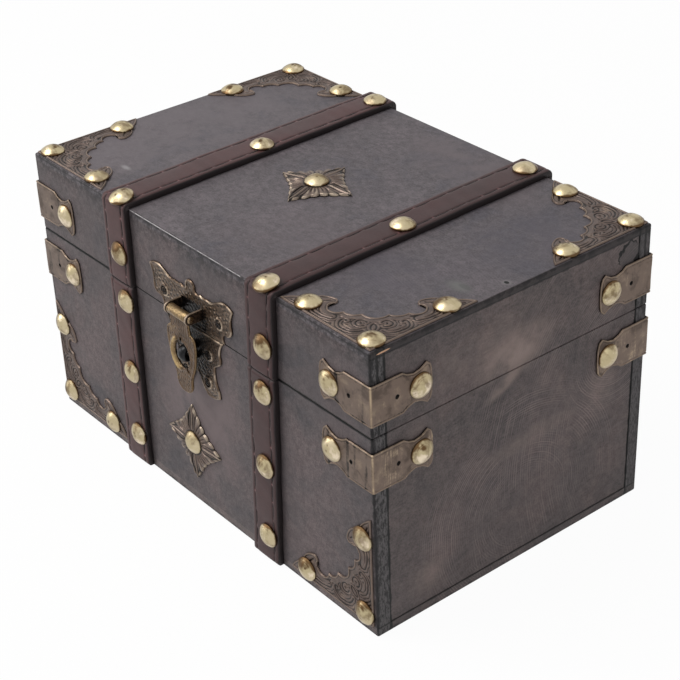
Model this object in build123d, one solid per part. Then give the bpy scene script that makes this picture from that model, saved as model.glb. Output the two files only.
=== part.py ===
from build123d import *
import math
import os

# A small treasure chest box in stained boards, with padded straps, upholstery nails,
# bent corner brackets, ornamented corner plates and a hasp latch.
# Sizes are in millimetres. X runs along the long front, Y towards the back, Z up.
# The origin is the middle of the chest's underside.

# The wooden box
chest_width = 240.0
chest_depth = 152.5
chest_height = 135.5
lid_height = 38.3
seam_gap = 0.3
board_thickness = 7.0
end_board_thickness = 7.0
end_board_inset = 0.2
bottom_thickness = 4.5
top_thickness = 3.0
corner_round = 0.9
seam_round = 0.35

# The padded straps, which lean a little, as laid by hand: each gap is from the end of a
# corner plate to the strap's outer edge, at the back, at the front of the top and at the foot
strap_width = 17.5
strap_thickness = 3.4
strap_round = 1.3
strap_foot = 0.8
back_strap_break = 3.0
left_strap_back_gap = 2.35
left_strap_top_gap = 6.55
left_strap_foot_gap = 3.25
right_strap_back_gap = 4.85
right_strap_top_gap = 0.85
right_strap_foot_gap = 6.55

# Upholstery nails
nail_head_radius = 5.6
nail_head_height = 3.0
nail_rim = 0.4
nail_shank_radius = 0.9
nail_hole_clearance = 0.05
nail_bite = 4.8
top_nail_bite = 2.3
nail_hole_spare = 0.3
bend_nail_setback = 0.7
bend_nail_tilt = 14.0
bend_nail_lift = 0.4

# Where the strap nails sit, as shares: how far up the body or the lid, or how far back
# over the top, then how far to the right of the strap's middle, in strap widths
left_body_nail_shares = ((0.177, 0.206), (0.530, 0.180), (0.918, 0.245))
right_body_nail_shares = ((0.154, 0.150), (0.532, 0.128), (0.918, 0.122))
left_lid_nail_shares = ((0.407, 0.155),)
right_lid_nail_shares = ((0.386, 0.188),)
left_top_nail_shares = ((0.508, 0.196), (0.964, 0.146))
right_top_nail_shares = ((0.474, 0.143), (0.958, 0.042))
left_bend_nail_share = 0.149
right_bend_nail_share = 0.103
back_body_nail_shares = ((0.167, 0.0), (0.530, 0.0), (0.918, 0.0))
back_lid_nail_shares = ((0.399, 0.0),)

# Corner brackets, bent round the upright corners
bracket_thickness = 1.0
bracket_half_height = 9.1
bracket_leg = 15.2
bracket_neck_reach = 20.8
bracket_neck_half_height = 6.7
bracket_horn_reach = 27.4
bracket_horn_half_height = 9.3
bracket_end_reach = 28.6
bracket_end_half_height = 8.2
bracket_nose_reach = 30.2
bracket_nail_reach = 24.0
bracket_hole_reach = 12.0
bracket_hole_radius = 0.8
bracket_fold_round = 0.8
lid_bracket_gap = 5.7
body_bracket_gap = 6.3

# Ornamented corner plates
plate_thickness = 0.9
plate_leg = 54.2
plate_nail_inset = 5.0
plate_nail_spacing = 37.8
top_plate_inset = 1.2
front_plate_side_inset = 2.0
front_plate_foot_inset = 4.4
plate_start_shares = (0.0, 1.0)
plate_span_shares = (
    ((0.080, 0.940), (0.146, 0.851)),
    ((0.247, 0.786), (0.280, 0.712)),
    ((0.262, 0.661), (0.221, 0.661)),
    ((0.188, 0.672), (0.151, 0.642)),
    ((0.214, 0.572), (0.221, 0.472)),
    ((0.303, 0.421), (0.323, 0.323)),
)

# Ribbed diamond ornaments
diamond_reach = 19.8
diamond_waist = 12.6
diamond_thickness = 1.1
diamond_scallops = 5
diamond_scallop_rise = 0.5
front_diamond_x = -4.5
front_diamond_drop = 63.7
lid_diamond_x = -3.6
lid_diamond_y = -2.4
lid_diamond_turn = 12.0

# Latch plates, pins and staple
latch_x = 3.2
latch_plate_thickness = 1.0
latch_plate_half_width = 30.4
latch_lid_plate_height = 21.9
latch_body_plate_height = 31.9
latch_edge_gap = 0.3
lid_plate_start_shares = (0.747, 0.0)
lid_plate_span_shares = (
    ((0.720, 0.11), (0.776, 0.23)),
    ((0.890, 0.27), (0.934, 0.48)),
    ((0.945, 0.65), (1.000, 0.85)),
    ((0.810, 0.95), (0.579, 0.835)),
    ((0.480, 0.78), (0.385, 0.785)),
    ((0.310, 0.78), (0.230, 0.80)),
    ((0.140, 0.78), (0.100, 0.82)),
    ((0.075, 0.97), (0.0, 1.0)),
)
body_plate_start_shares = (0.711, 0.0)
body_plate_span_shares = (
    ((0.625, 0.13), (0.605, 0.25)),
    ((0.612, 0.35), (0.546, 0.415)),
    ((0.480, 0.43), (0.457, 0.48)),
    ((0.447, 0.63), (0.507, 0.82)),
    ((0.535, 0.90), (0.533, 0.945)),
    ((0.395, 1.0), (0.230, 1.0)),
    ((0.138, 0.89), (0.079, 0.78)),
    ((0.046, 0.73), (0.0, 0.715)),
)
arm_thickness = 1.0
arm_half_span = 8.0
arm_end_radius = 2.7
window_height = 6.4
window_side_wall = 0.6
hasp_pin_out = 7.0
hasp_pin_rise = 8.4
hasp_pin_radius = 1.0
hasp_pin_clearance = 0.05
hasp_pin_head_radius = 1.7
hasp_pin_head_height = 0.8
latch_pin_radius = 0.8
latch_pin_head_radius = 1.7
latch_pin_head_height = 0.8
latch_pin_bite = 4.0
lid_latch_pin_shares = ((0.651, 0.411),)
body_latch_pin_shares = ((0.336, 0.317), (0.263, 0.777))
staple_drop = 11.7
staple_wire_radius = 0.9
staple_half_span = 3.2
staple_nose_gap = 0.5
staple_bite = 3.5

# Tongue of the latch
tongue_thickness = 1.4
tongue_knuckle_radius = 2.3
tongue_side_gap = 0.3
tongue_length = 39.0
tongue_half_width = 10.4
tongue_shoulder_drop = 3.2
tongue_outline_shares = (
    ((0.649, 0.067), (0.673, 0.134)),
    ((0.827, 0.151), (0.952, 0.184)),
    ((1.010, 0.288), (0.971, 0.399)),
    ((0.885, 0.542), (0.712, 0.670)),
    ((0.606, 0.749), (0.548, 0.832)),
    ((0.413, 0.955), (0.0, 1.0)),
)
tongue_hole_half_width = 5.5
tongue_hole_half_height = 6.4
tongue_slit_width = 1.3
tongue_slit_reach = 8.2
tongue_slit_turn = 28.0

# Hinges at the back
hinge_bracket_gap = 4.3
hinge_width = 20.0
hinge_leaf_height = 13.0
hinge_leaf_thickness = 0.9
hinge_knuckle_radius = 2.2
hinge_knuckle_width = 6.6
hinge_side_gap = 0.3
hinge_face_gap = 0.1
hinge_notch_gap = 0.5
hinge_pin_radius = 0.8
hinge_pin_clearance = 0.05
hinge_pin_overhang = 0.4
hinge_screw_radius = 0.8
hinge_screw_head_radius = 1.8
hinge_screw_head_height = 0.7
hinge_screw_bite = 4.5
hinge_screw_side = 6.0
hinge_screw_height = 8.2

# One overrun lets every cut run clean through its plate
overrun = 0.5

# Planes of the outer faces: drawn on with u sideways and v upwards, or backwards on top
half_width = chest_width / 2
half_depth = chest_depth / 2
front_face = Plane(origin=(0, -half_depth, 0), x_dir=(1, 0, 0), z_dir=(0, -1, 0))
back_face = Plane(origin=(0, half_depth, 0), x_dir=(-1, 0, 0), z_dir=(0, 1, 0))
right_face = Plane(origin=(half_width, 0, 0), x_dir=(0, 1, 0), z_dir=(1, 0, 0))
left_face = Plane(origin=(-half_width, 0, 0), x_dir=(0, -1, 0), z_dir=(-1, 0, 0))
top_face = Plane(origin=(0, 0, chest_height), x_dir=(1, 0, 0), z_dir=(0, 0, 1))

# The seam, the two edges that meet at it, and what is set out from it
seam_height = chest_height - lid_height
body_top = seam_height - seam_gap / 2
lid_foot = seam_height + seam_gap / 2
lid_bracket_height = seam_height + lid_bracket_gap + bracket_horn_half_height
body_bracket_height = seam_height - body_bracket_gap - bracket_horn_half_height
hasp_pin_height = seam_height + hasp_pin_rise
staple_height = seam_height - staple_drop
front_diamond_z = seam_height - front_diamond_drop
hinge_x = half_width - bracket_nose_reach - hinge_bracket_gap - hinge_width / 2


def save(name, shape):
    """Write one sub-part as parts/NAME.step."""
    export_step(shape, f"parts/{name}.step")


def group(solids):
    """Gather separate solids into one sub-part."""
    return Compound(children=list(solids))


def block(low, high):
    """A box between its lowest and its highest corner."""
    size = [b - a for a, b in zip(low, high)]
    return Pos(*low) * Box(*size, align=(Align.MIN, Align.MIN, Align.MIN))


def shaft(place, radius, low, high):
    """A round bar along the place's Z axis, from low to high."""
    bar = Cylinder(radius, high - low, align=(Align.CENTER, Align.CENTER, Align.MIN))
    return place * Pos(0, 0, low) * bar


def traced(face, start, spans, thickness):
    """A plate of the given thickness on a face, traced from point to point.

    Each span is (end) or (via, end): a straight line, or an arc through via.
    """
    edges = []
    here = start
    for span in spans:
        if len(span) > 1:
            edges.append(ThreePointArc(here, span[0], span[1]))
        else:
            edges.append(Line(here, span[0]))
        here = span[-1]
    if here != start:
        edges.append(Line(here, start))
    outline = face * make_face(edges)
    return extrude(outline, amount=thickness, dir=face.z_dir)


def reversed_spans(start, spans):
    """The same spans walked from the last end back to the start."""
    ends = [start] + [span[-1] for span in spans]
    walked = []
    for index in range(len(spans) - 1, -1, -1):
        walked.append((*spans[index][:-1], ends[index]))
    return walked


def swapped(point):
    """Mirror a point in the diagonal."""
    return (point[1], point[0])


def flipped(point):
    """Mirror a point in the upright axis."""
    return (-point[0], point[1])


def whole_outline(start, spans, turn):
    """An outline of a half and its mirror image, made with the point function turn."""
    other = [tuple(turn(point) for point in span) for span in reversed_spans(start, spans)]
    return list(spans) + other


def scaled(points, u_size, v_size):
    """Spans of shares turned into spans of lengths."""
    return [tuple((u * u_size, v * v_size) for u, v in span) for span in points]


def nail(seat, bite):
    """An upholstery nail whose head sits at z = 0, its shank reaching seat plus bite below."""
    rim_point = (nail_head_radius, nail_rim)
    rise = nail_head_height - nail_rim
    ball_radius = (nail_head_radius**2 + rise**2) / (2 * rise)
    slope = math.asin(nail_head_radius / ball_radius) / 2
    via = (ball_radius * math.sin(slope), nail_head_height - ball_radius * (1 - math.cos(slope)))
    profile = make_face([
        Line((0, 0), (nail_head_radius, 0)),
        Line((nail_head_radius, 0), rim_point),
        ThreePointArc(rim_point, via, (0, nail_head_height)),
        Line((0, nail_head_height), (0, 0)),
    ])
    head = revolve(Plane.XZ * profile, axis=Axis.Z)
    return head + shaft(Pos(0, 0, 0), nail_shank_radius, -(seat + bite), nail_rim)


def nail_hole(place, seat, bite):
    """The hole that a nail's shank goes through, from above its seat to just past its point."""
    radius = nail_shank_radius + nail_hole_clearance
    return shaft(place, radius, -(seat + bite + nail_hole_spare), overrun)


def nails(places, seat, bite):
    """A group of nails at the given places."""
    one = nail(seat, bite)
    return [place * one for place in places]


def nail_holes(places, seat, bite):
    """The holes for a group of nails."""
    return [nail_hole(place, seat, bite) for place in places]


def seat_at(face, u, v, seat):
    """The place of a nail on a face, lifted by what it holds down."""
    return face.location * Pos(u, v, seat)


# How far out a strap's middle may lie before its edge meets a corner plate's end
top_strap_reach = half_width - top_plate_inset - plate_leg - strap_width / 2
foot_strap_reach = half_width - front_plate_side_inset - plate_leg - strap_width / 2

# Each strap: its middle at the back edge, at the front top edge and at the foot of the front,
# and the shares that place its nails on the body, the lid's front, the top and the bend
left_strap = {
    "back": left_strap_back_gap - top_strap_reach,
    "top": left_strap_top_gap - top_strap_reach,
    "foot": left_strap_foot_gap - foot_strap_reach,
    "body_nails": left_body_nail_shares, "lid_nails": left_lid_nail_shares,
    "top_nails": left_top_nail_shares, "bend_nail": left_bend_nail_share,
}
right_strap = {
    "back": top_strap_reach - right_strap_back_gap,
    "top": top_strap_reach - right_strap_top_gap,
    "foot": foot_strap_reach - right_strap_foot_gap,
    "body_nails": right_body_nail_shares, "lid_nails": right_lid_nail_shares,
    "top_nails": right_top_nail_shares, "bend_nail": right_bend_nail_share,
}


def strap_x_on_front(strap, z):
    """Middle of a strap on the front, at a height."""
    share = (z - strap_foot) / (chest_height - strap_foot)
    return strap["foot"] + (strap["top"] - strap["foot"]) * share


def strap_x_on_top(strap, y):
    """Middle of a strap on the top, at a depth."""
    share = (y + half_depth) / chest_depth
    return strap["top"] + (strap["back"] - strap["top"]) * share


def strap_section(plane):
    """The strap's cross-section: flat underneath, its two outer corners rounded."""
    half = strap_width / 2
    bend = strap_round * (1 - math.cos(math.radians(45)))
    shoulder = strap_thickness - strap_round
    return plane * make_face([
        Line((-half, 0), (half, 0)),
        Line((half, 0), (half, shoulder)),
        ThreePointArc((half, shoulder), (half - bend, strap_thickness - bend),
                      (half - strap_round, strap_thickness)),
        Line((half - strap_round, strap_thickness), (-half + strap_round, strap_thickness)),
        ThreePointArc((-half + strap_round, strap_thickness),
                      (-half + bend, strap_thickness - bend), (-half, shoulder)),
        Line((-half, shoulder), (-half, 0)),
    ])


def strap_run(start, end, outward):
    """A straight run of strap from start to end, standing out along outward."""
    section = Plane(origin=start, x_dir=(1, 0, 0), z_dir=Vector(1, 0, 0).cross(Vector(*outward)))
    run = Vector(*end) - Vector(*start)
    return extrude(strap_section(section), amount=run.length, dir=run.normalized())


def strap_bend(edge, outward, turn):
    """The quarter turn of a strap round an edge, from outward, turning about X by turn's sign."""
    section = Plane(origin=edge, x_dir=(1, 0, 0), z_dir=Vector(1, 0, 0).cross(Vector(*outward)))
    return revolve(strap_section(section), axis=Axis(edge, (turn, 0, 0)), revolution_arc=90)


def strap_on_front(strap, low, high):
    """A strap's run up the front, between two heights."""
    start = (strap_x_on_front(strap, low), -half_depth, low)
    end = (strap_x_on_front(strap, high), -half_depth, high)
    return strap_run(start, end, (0, -1, 0))


def strap_on_back(strap, low, high):
    """A strap's run down the back, between two heights."""
    x = strap["back"]
    return strap_run((x, half_depth, low), (x, half_depth, high), (0, 1, 0))


def lid_strap(strap):
    """The strap over the lid: up the front, over the top and down the back."""
    front_edge = (strap["top"], -half_depth, chest_height)
    back_edge = (strap["back"], half_depth, chest_height)
    over = strap_on_front(strap, lid_foot, chest_height)
    over += strap_bend(front_edge, (0, 0, 1), 1)
    over += strap_run(front_edge, back_edge, (0, 0, 1))
    over += strap_bend(back_edge, (0, 0, 1), -1)
    over += strap_on_back(strap, seam_height + back_strap_break, chest_height)
    return over


def strap_front_nail_places(strap, shares, foot, height):
    """Places of the nails up the front of a strap, which stand a little to its right."""
    places = []
    for height_share, side_share in shares:
        z = foot + height_share * height
        u = strap_x_on_front(strap, z) + side_share * strap_width
        places.append(seat_at(front_face, u, z, strap_thickness))
    return places


def strap_back_nail_places(strap, shares, foot, height):
    """Places of the nails down the back of a strap."""
    return [seat_at(back_face, -strap["back"] + side_share * strap_width,
                    foot + height_share * height, strap_thickness)
            for height_share, side_share in shares]


def strap_top_nail_places(strap):
    """Places of the two nails on the flat of the top."""
    places = []
    for depth_share, side_share in strap["top_nails"]:
        y = depth_share * chest_depth - half_depth
        u = strap_x_on_top(strap, y) + side_share * strap_width
        places.append(seat_at(top_face, u, y, strap_thickness))
    return places


def strap_bend_nail_place(strap):
    """Place of the nail that sits on the bend at the front edge and leans forward with it."""
    spot = Pos(strap["top"] + strap["bend_nail"] * strap_width, -half_depth + bend_nail_setback,
               chest_height + strap_thickness)
    return spot * Rot(bend_nail_tilt, 0, 0) * Pos(0, 0, bend_nail_lift)


def bracket_corners():
    """The four upright corners as (name, sign of x, sign of y)."""
    return [
        ("front_left", -1, -1),
        ("front_right", 1, -1),
        ("back_left", -1, 1),
        ("back_right", 1, 1),
    ]


def corner_faces(x_sign, y_sign):
    """The long face and the end face at a corner, each with the u of its corner edge."""
    long_face = front_face if y_sign < 0 else back_face
    end_face = right_face if x_sign > 0 else left_face
    long_u = half_width * x_sign * -y_sign
    end_u = half_depth * y_sign * x_sign
    return (long_face, long_u), (end_face, end_u)


def bracket_leg_on(face, corner_u, middle_v):
    """One leg of a bracket on a face, drawn from the corner edge towards the middle."""
    inward = -1 if corner_u > 0 else 1

    def at(reach, rise):
        return (corner_u + inward * reach, middle_v + rise)

    start = at(-bracket_thickness, bracket_half_height)
    upper = [
        (at(bracket_leg, bracket_half_height),),
        (at(bracket_neck_reach, bracket_neck_half_height),
         at(bracket_horn_reach, bracket_horn_half_height)),
        (at(bracket_end_reach, bracket_end_half_height),),
    ]
    lower = [
        (at(bracket_horn_reach, -bracket_horn_half_height),),
        (at(bracket_neck_reach, -bracket_neck_half_height),
         at(bracket_leg, -bracket_half_height)),
        (at(-bracket_thickness, -bracket_half_height),),
    ]
    nose = [(at(bracket_nose_reach, 0), at(bracket_end_reach, -bracket_end_half_height))]
    leg = traced(face, start, upper + nose + lower, bracket_thickness)
    hole = shaft(seat_at(face, *at(bracket_hole_reach, 0), 0), bracket_hole_radius,
                 -overrun, bracket_thickness + overrun)
    return leg - hole


def bracket_nail_places(x_sign, y_sign, middle_v):
    """The nail places on both legs of a bracket."""
    places = []
    for face, corner_u in corner_faces(x_sign, y_sign):
        inward = -1 if corner_u > 0 else 1
        u = corner_u + inward * bracket_nail_reach
        places.append(seat_at(face, u, middle_v, bracket_thickness))
    return places


def corner_bracket(x_sign, y_sign, middle_v):
    """A bracket bent round an upright corner, with its nail holes and small spare holes."""
    legs = [bracket_leg_on(face, corner_u, middle_v)
            for face, corner_u in corner_faces(x_sign, y_sign)]
    bracket = legs[0] + legs[1]
    upright = bracket.edges().filter_by(Axis.Z)
    fold = upright.sort_by_distance((0, 0, middle_v))[-1]
    bracket = fillet(fold, bracket_fold_round)
    places = bracket_nail_places(x_sign, y_sign, middle_v)
    return bracket - nail_holes(places, bracket_thickness, nail_bite)


def corner_plate_points(corner, turn):
    """A function from distances along a plate's two edges to a point on its face."""
    def at(point):
        return (corner[0] + turn[0] * point[0], corner[1] + turn[1] * point[1])
    return at


def corner_plate_nail_places(face, corner, turn):
    """Nail places of a corner plate: one in the corner and one near each tip."""
    at = corner_plate_points(corner, turn)
    far = plate_nail_inset + plate_nail_spacing
    spots = [(plate_nail_inset, plate_nail_inset), (far, plate_nail_inset), (plate_nail_inset, far)]
    return [seat_at(face, *at(spot), plate_thickness) for spot in spots]


def corner_plate(face, corner, turn, bite):
    """An ornamented corner plate: two straight edges and a scalloped inner edge with two ears."""
    at = corner_plate_points(corner, turn)
    start = (plate_start_shares[0] * plate_leg, plate_start_shares[1] * plate_leg)
    half = scaled(plate_span_shares, plate_leg, plate_leg)
    spans = whole_outline(start, half, swapped) + [((0, 0),)]
    placed = [tuple(at(point) for point in span) for span in spans]
    plate = traced(face, at(start), placed, plate_thickness)
    places = corner_plate_nail_places(face, corner, turn)
    return plate - nail_holes(places, plate_thickness, bite)


def top_plate_corners():
    """Corners of the lid's plates as (name, corner, turn towards the middle)."""
    u = half_width - top_plate_inset
    v = half_depth - top_plate_inset
    return [
        ("front_left", (-u, -v), (1, 1)),
        ("front_right", (u, -v), (-1, 1)),
        ("back_left", (-u, v), (1, -1)),
        ("back_right", (u, v), (-1, -1)),
    ]


def front_plate_corners():
    """Corners of the front's plates as (name, corner, turn towards the middle)."""
    u = half_width - front_plate_side_inset
    v = front_plate_foot_inset
    return [("left", (-u, v), (1, 1)), ("right", (u, v), (-1, 1))]


def diamond(place, bite):
    """A square ornament stood on its corner, its hollow sides cut into small scallops."""
    face = Plane(place)
    tips = [(diamond_reach, 0), (0, diamond_reach), (-diamond_reach, 0), (0, -diamond_reach)]
    spans = []
    for index, tip in enumerate(tips):
        far = tips[(index + 1) % len(tips)]
        spans += scalloped_side(tip, far)
    plate = traced(face, tips[0], spans, diamond_thickness)
    hole = nail_hole(place * Pos(0, 0, diamond_thickness), diamond_thickness, bite)
    return plate - hole


def scalloped_side(tip, far):
    """Small arcs along a side that bows in towards the middle between two tips."""
    middle = ((tip[0] + far[0]) / 2, (tip[1] + far[1]) / 2)
    reach = math.hypot(*middle)
    bow = reach - diamond_waist

    def on_side(share, rise):
        u = tip[0] + (far[0] - tip[0]) * share
        v = tip[1] + (far[1] - tip[1]) * share
        inward = 4 * bow * share * (1 - share) - rise
        return (u - middle[0] / reach * inward, v - middle[1] / reach * inward)

    spans = []
    for step in range(diamond_scallops):
        via = on_side((step + 1 / 2) / diamond_scallops, diamond_scallop_rise)
        end = on_side((step + 1) / diamond_scallops, 0)
        spans.append((via, end if step + 1 < diamond_scallops else far))
    return spans


def front_diamond_place():
    """Where the front's diamond sits."""
    return seat_at(front_face, front_diamond_x, front_diamond_z, 0)


def lid_diamond_place():
    """Where the lid's diamond sits, a little turned."""
    return seat_at(top_face, lid_diamond_x, lid_diamond_y, 0) * Rot(0, 0, lid_diamond_turn)


def board(low, high, rounded):
    """A board with some of its edges eased; rounded picks them from the board."""
    plain = block(low, high)
    for pick, radius in rounded:
        plain = fillet(pick(plain), radius)
    return plain


def outer_uprights(y_sign):
    """Picks the two upright edges on the outer face of a long board."""
    def pick(plain):
        upright = plain.edges().filter_by(Axis.Z).sort_by(Axis.Y)
        return upright[:2] if y_sign < 0 else upright[-2:]
    return pick


def seam_edge(y_sign, at_top):
    """Picks a long board's outer edge at the seam."""
    def pick(plain):
        level = plain.edges().filter_by(Axis.X).group_by(Axis.Z)[-1 if at_top else 0]
        return level.sort_by(Axis.Y)[0 if y_sign < 0 else -1]
    return pick


def end_seam_edge(x_sign, at_top):
    """Picks an end board's outer edge at the seam."""
    def pick(plain):
        level = plain.edges().filter_by(Axis.Y).group_by(Axis.Z)[-1 if at_top else 0]
        return level.sort_by(Axis.X)[0 if x_sign < 0 else -1]
    return pick


def long_board(y_sign, low_z, high_z, seam_at_top):
    """A front or back board, as long as the chest."""
    outer = half_depth * y_sign
    inner = (half_depth - board_thickness) * y_sign
    low = (-half_width, min(outer, inner), low_z)
    high = (half_width, max(outer, inner), high_z)
    rounded = [(seam_edge(y_sign, seam_at_top), seam_round), (outer_uprights(y_sign), corner_round)]
    return board(low, high, rounded)


def end_board(x_sign, low_z, high_z, seam_at_top):
    """An end board, set between the front and back boards and just behind their end grain."""
    outer = (half_width - end_board_inset) * x_sign
    inner = (half_width - end_board_inset - end_board_thickness) * x_sign
    reach = half_depth - board_thickness
    low = (min(outer, inner), -reach, low_z)
    high = (max(outer, inner), reach, high_z)
    return board(low, high, [(end_seam_edge(x_sign, seam_at_top), seam_round)])


def bottom_board():
    """The bottom, as wide and deep as the chest, its outer edges eased underneath."""
    low = (-half_width, -half_depth, 0)
    high = (half_width, half_depth, bottom_thickness)
    plain = block(low, high)
    uprights = plain.edges().filter_by(Axis.Z)
    plain = fillet(uprights, corner_round)
    return fillet(plain.faces().sort_by(Axis.Z)[0].edges(), corner_round)


def top_panel():
    """The lid's top, its outer edges eased."""
    low = (-half_width, -half_depth, chest_height - top_thickness)
    high = (half_width, half_depth, chest_height)
    plain = block(low, high)
    plain = fillet(plain.edges().filter_by(Axis.Z), corner_round)
    return fillet(plain.faces().sort_by(Axis.Z)[-1].edges(), corner_round)


def latch_point(point):
    """A point beside the latch's middle at the seam, on the front face."""
    return (latch_x + point[0], seam_height + point[1])


def latch_outline(start_shares, span_shares, height, upward):
    """The start and spans of a latch plate above or below the seam."""
    rise = height - latch_edge_gap

    def at(point):
        return latch_point((point[0], upward * (latch_edge_gap + point[1])))

    start = (start_shares[0] * latch_plate_half_width, start_shares[1] * rise)
    half = scaled(span_shares, latch_plate_half_width, rise)
    spans = whole_outline(start, half, flipped)
    return at(start), [tuple(at(point) for point in span) for span in spans]


def latch_pin_places(shares, height):
    """Places of a latch plate's pins, on both sides of its middle; a negative height goes down."""
    return [seat_at(front_face, *latch_point((side * u * latch_plate_half_width, v * height)),
                    latch_plate_thickness)
            for u, v in shares for side in (-1, 1)]


def latch_pins(places):
    """Small round-headed pins that hold a latch plate."""
    one = shaft(Pos(0, 0, 0), latch_pin_radius, -(latch_plate_thickness + latch_pin_bite),
                latch_pin_head_height)
    one += shaft(Pos(0, 0, 0), latch_pin_head_radius, 0, latch_pin_head_height)
    return [place * one for place in places]


def latch_pin_holes(places):
    """The holes for a latch plate's pins."""
    depth = latch_plate_thickness + latch_pin_bite + nail_hole_spare
    radius = latch_pin_radius + nail_hole_clearance
    return [shaft(place, radius, -depth, overrun) for place in places]


def hasp_axis():
    """The pin's place: its Z axis runs along X through the middle of the barrel."""
    return Pos(latch_x, -half_depth - hasp_pin_out, hasp_pin_height) * Rot(0, 90, 0)


def latch_arm(side):
    """One of the two arms that reach out from the upper plate and hold the pin."""
    inner = arm_half_span - arm_thickness
    low = side * (inner if side > 0 else arm_half_span)
    place = hasp_axis()
    round_end = shaft(place, arm_end_radius, low, low + arm_thickness)
    bar = block(
        (latch_x + low, -half_depth - hasp_pin_out, hasp_pin_height - arm_end_radius),
        (latch_x + low + arm_thickness, -half_depth, hasp_pin_height + arm_end_radius))
    return round_end + bar


def latch_lid_plate():
    """The upper latch plate with its arms, the window they are bent from, and its holes."""
    start, spans = latch_outline(lid_plate_start_shares, lid_plate_span_shares,
                                 latch_lid_plate_height, 1)
    plate = traced(front_face, start, spans, latch_plate_thickness)
    side = arm_half_span - arm_thickness - window_side_wall
    window = block(
        (latch_x - side, -half_depth - latch_plate_thickness - overrun,
         hasp_pin_height - window_height / 2),
        (latch_x + side, -half_depth + overrun, hasp_pin_height + window_height / 2))
    plate -= window
    plate += latch_arm(-1)
    plate += latch_arm(1)
    bore = shaft(hasp_axis(), hasp_pin_radius + hasp_pin_clearance,
                 -arm_half_span - overrun, arm_half_span + overrun)
    return plate - bore - latch_pin_holes(lid_latch_pin_places)


def hasp_pin():
    """The pin through the arms and the tongue's barrel, with a small head at each end."""
    place = hasp_axis()
    pin = shaft(place, hasp_pin_radius, -arm_half_span, arm_half_span)
    for low in (-arm_half_span - hasp_pin_head_height, arm_half_span):
        pin += shaft(place, hasp_pin_head_radius, low, low + hasp_pin_head_height)
    return pin


def latch_body_plate():
    """The lower latch plate with its flared feet and its holes."""
    start, spans = latch_outline(body_plate_start_shares, body_plate_span_shares,
                                 latch_body_plate_height, -1)
    plate = traced(front_face, start, spans, latch_plate_thickness)
    return plate - staple_holes() - latch_pin_holes(body_latch_pin_places)


def staple_nose():
    """How far the staple's nose stands out from the front face."""
    return hasp_pin_out - tongue_thickness / 2 - staple_nose_gap


def staple():
    """The wire loop behind the tongue's hole: two legs in the board and a round nose."""
    bend_out = staple_nose() - staple_wire_radius - staple_half_span
    foot = -half_depth + staple_bite
    turn = -half_depth - bend_out
    tip = turn - staple_half_span
    low = staple_height - staple_half_span
    high = staple_height + staple_half_span
    path = (
        Line((latch_x, foot, low), (latch_x, turn, low))
        + ThreePointArc((latch_x, turn, low), (latch_x, tip, staple_height), (latch_x, turn, high))
        + Line((latch_x, turn, high), (latch_x, foot, high))
    )
    start = Plane(origin=(latch_x, foot, low), z_dir=(0, -1, 0))
    return sweep(start * Circle(staple_wire_radius), path=path)


def staple_holes():
    """The two holes for the staple's legs, through the plate and into the board."""
    radius = staple_wire_radius + nail_hole_clearance
    heights = (staple_height - staple_half_span, staple_height + staple_half_span)
    return [shaft(seat_at(front_face, latch_x, z, 0), radius, -(staple_bite + nail_hole_spare),
                  latch_plate_thickness + overrun)
            for z in heights]


def tongue():
    """The hanging tongue: a barrel on the pin, a neck, and a shield with its keyhole."""
    outward = tongue_thickness / 2 - hasp_pin_out
    back = Plane(origin=(latch_x, -half_depth + outward, hasp_pin_height),
                 x_dir=(1, 0, 0), z_dir=(0, -1, 0))
    drop = tongue_length - tongue_shoulder_drop

    def at(point):
        return (point[0], -point[1] - tongue_shoulder_drop)

    neck_half = arm_half_span - arm_thickness - tongue_side_gap
    start = (neck_half, 0)
    half = scaled(tongue_outline_shares, tongue_half_width, drop)
    spans = whole_outline(start, half, flipped)
    placed = [tuple(at(point) for point in span) for span in spans]
    shield = traced(back, at(start), placed, tongue_thickness)
    neck = block(
        (latch_x - neck_half, -half_depth - hasp_pin_out - tongue_thickness / 2,
         hasp_pin_height - tongue_shoulder_drop - overrun),
        (latch_x + neck_half, -half_depth - hasp_pin_out + tongue_thickness / 2, hasp_pin_height))
    barrel = shaft(hasp_axis(), tongue_knuckle_radius, -neck_half, neck_half)
    bore = shaft(hasp_axis(), hasp_pin_radius + hasp_pin_clearance,
                 -neck_half - overrun, neck_half + overrun)
    return shield + neck + barrel - bore - tongue_keyhole()


def tongue_keyhole():
    """The round hole over the staple, with a slit above it and a slanted one below."""
    place = seat_at(front_face, latch_x, staple_height, hasp_pin_out)
    through = tongue_thickness + overrun
    oval = extrude(Ellipse(tongue_hole_half_width, tongue_hole_half_height), amount=through, both=True)
    slit = Box(tongue_slit_width, tongue_slit_reach, 2 * through,
               align=(Align.CENTER, Align.MIN, Align.CENTER))
    lower = Rot(0, 0, 180 + tongue_slit_turn) * slit
    return place * (oval + slit + lower)


def hinge_axis(x_middle):
    """A hinge's place: its Z axis runs along X through the pin."""
    out = half_depth + hinge_knuckle_radius + hinge_face_gap
    return Pos(x_middle, out, seam_height) * Rot(0, 90, 0)


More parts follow.
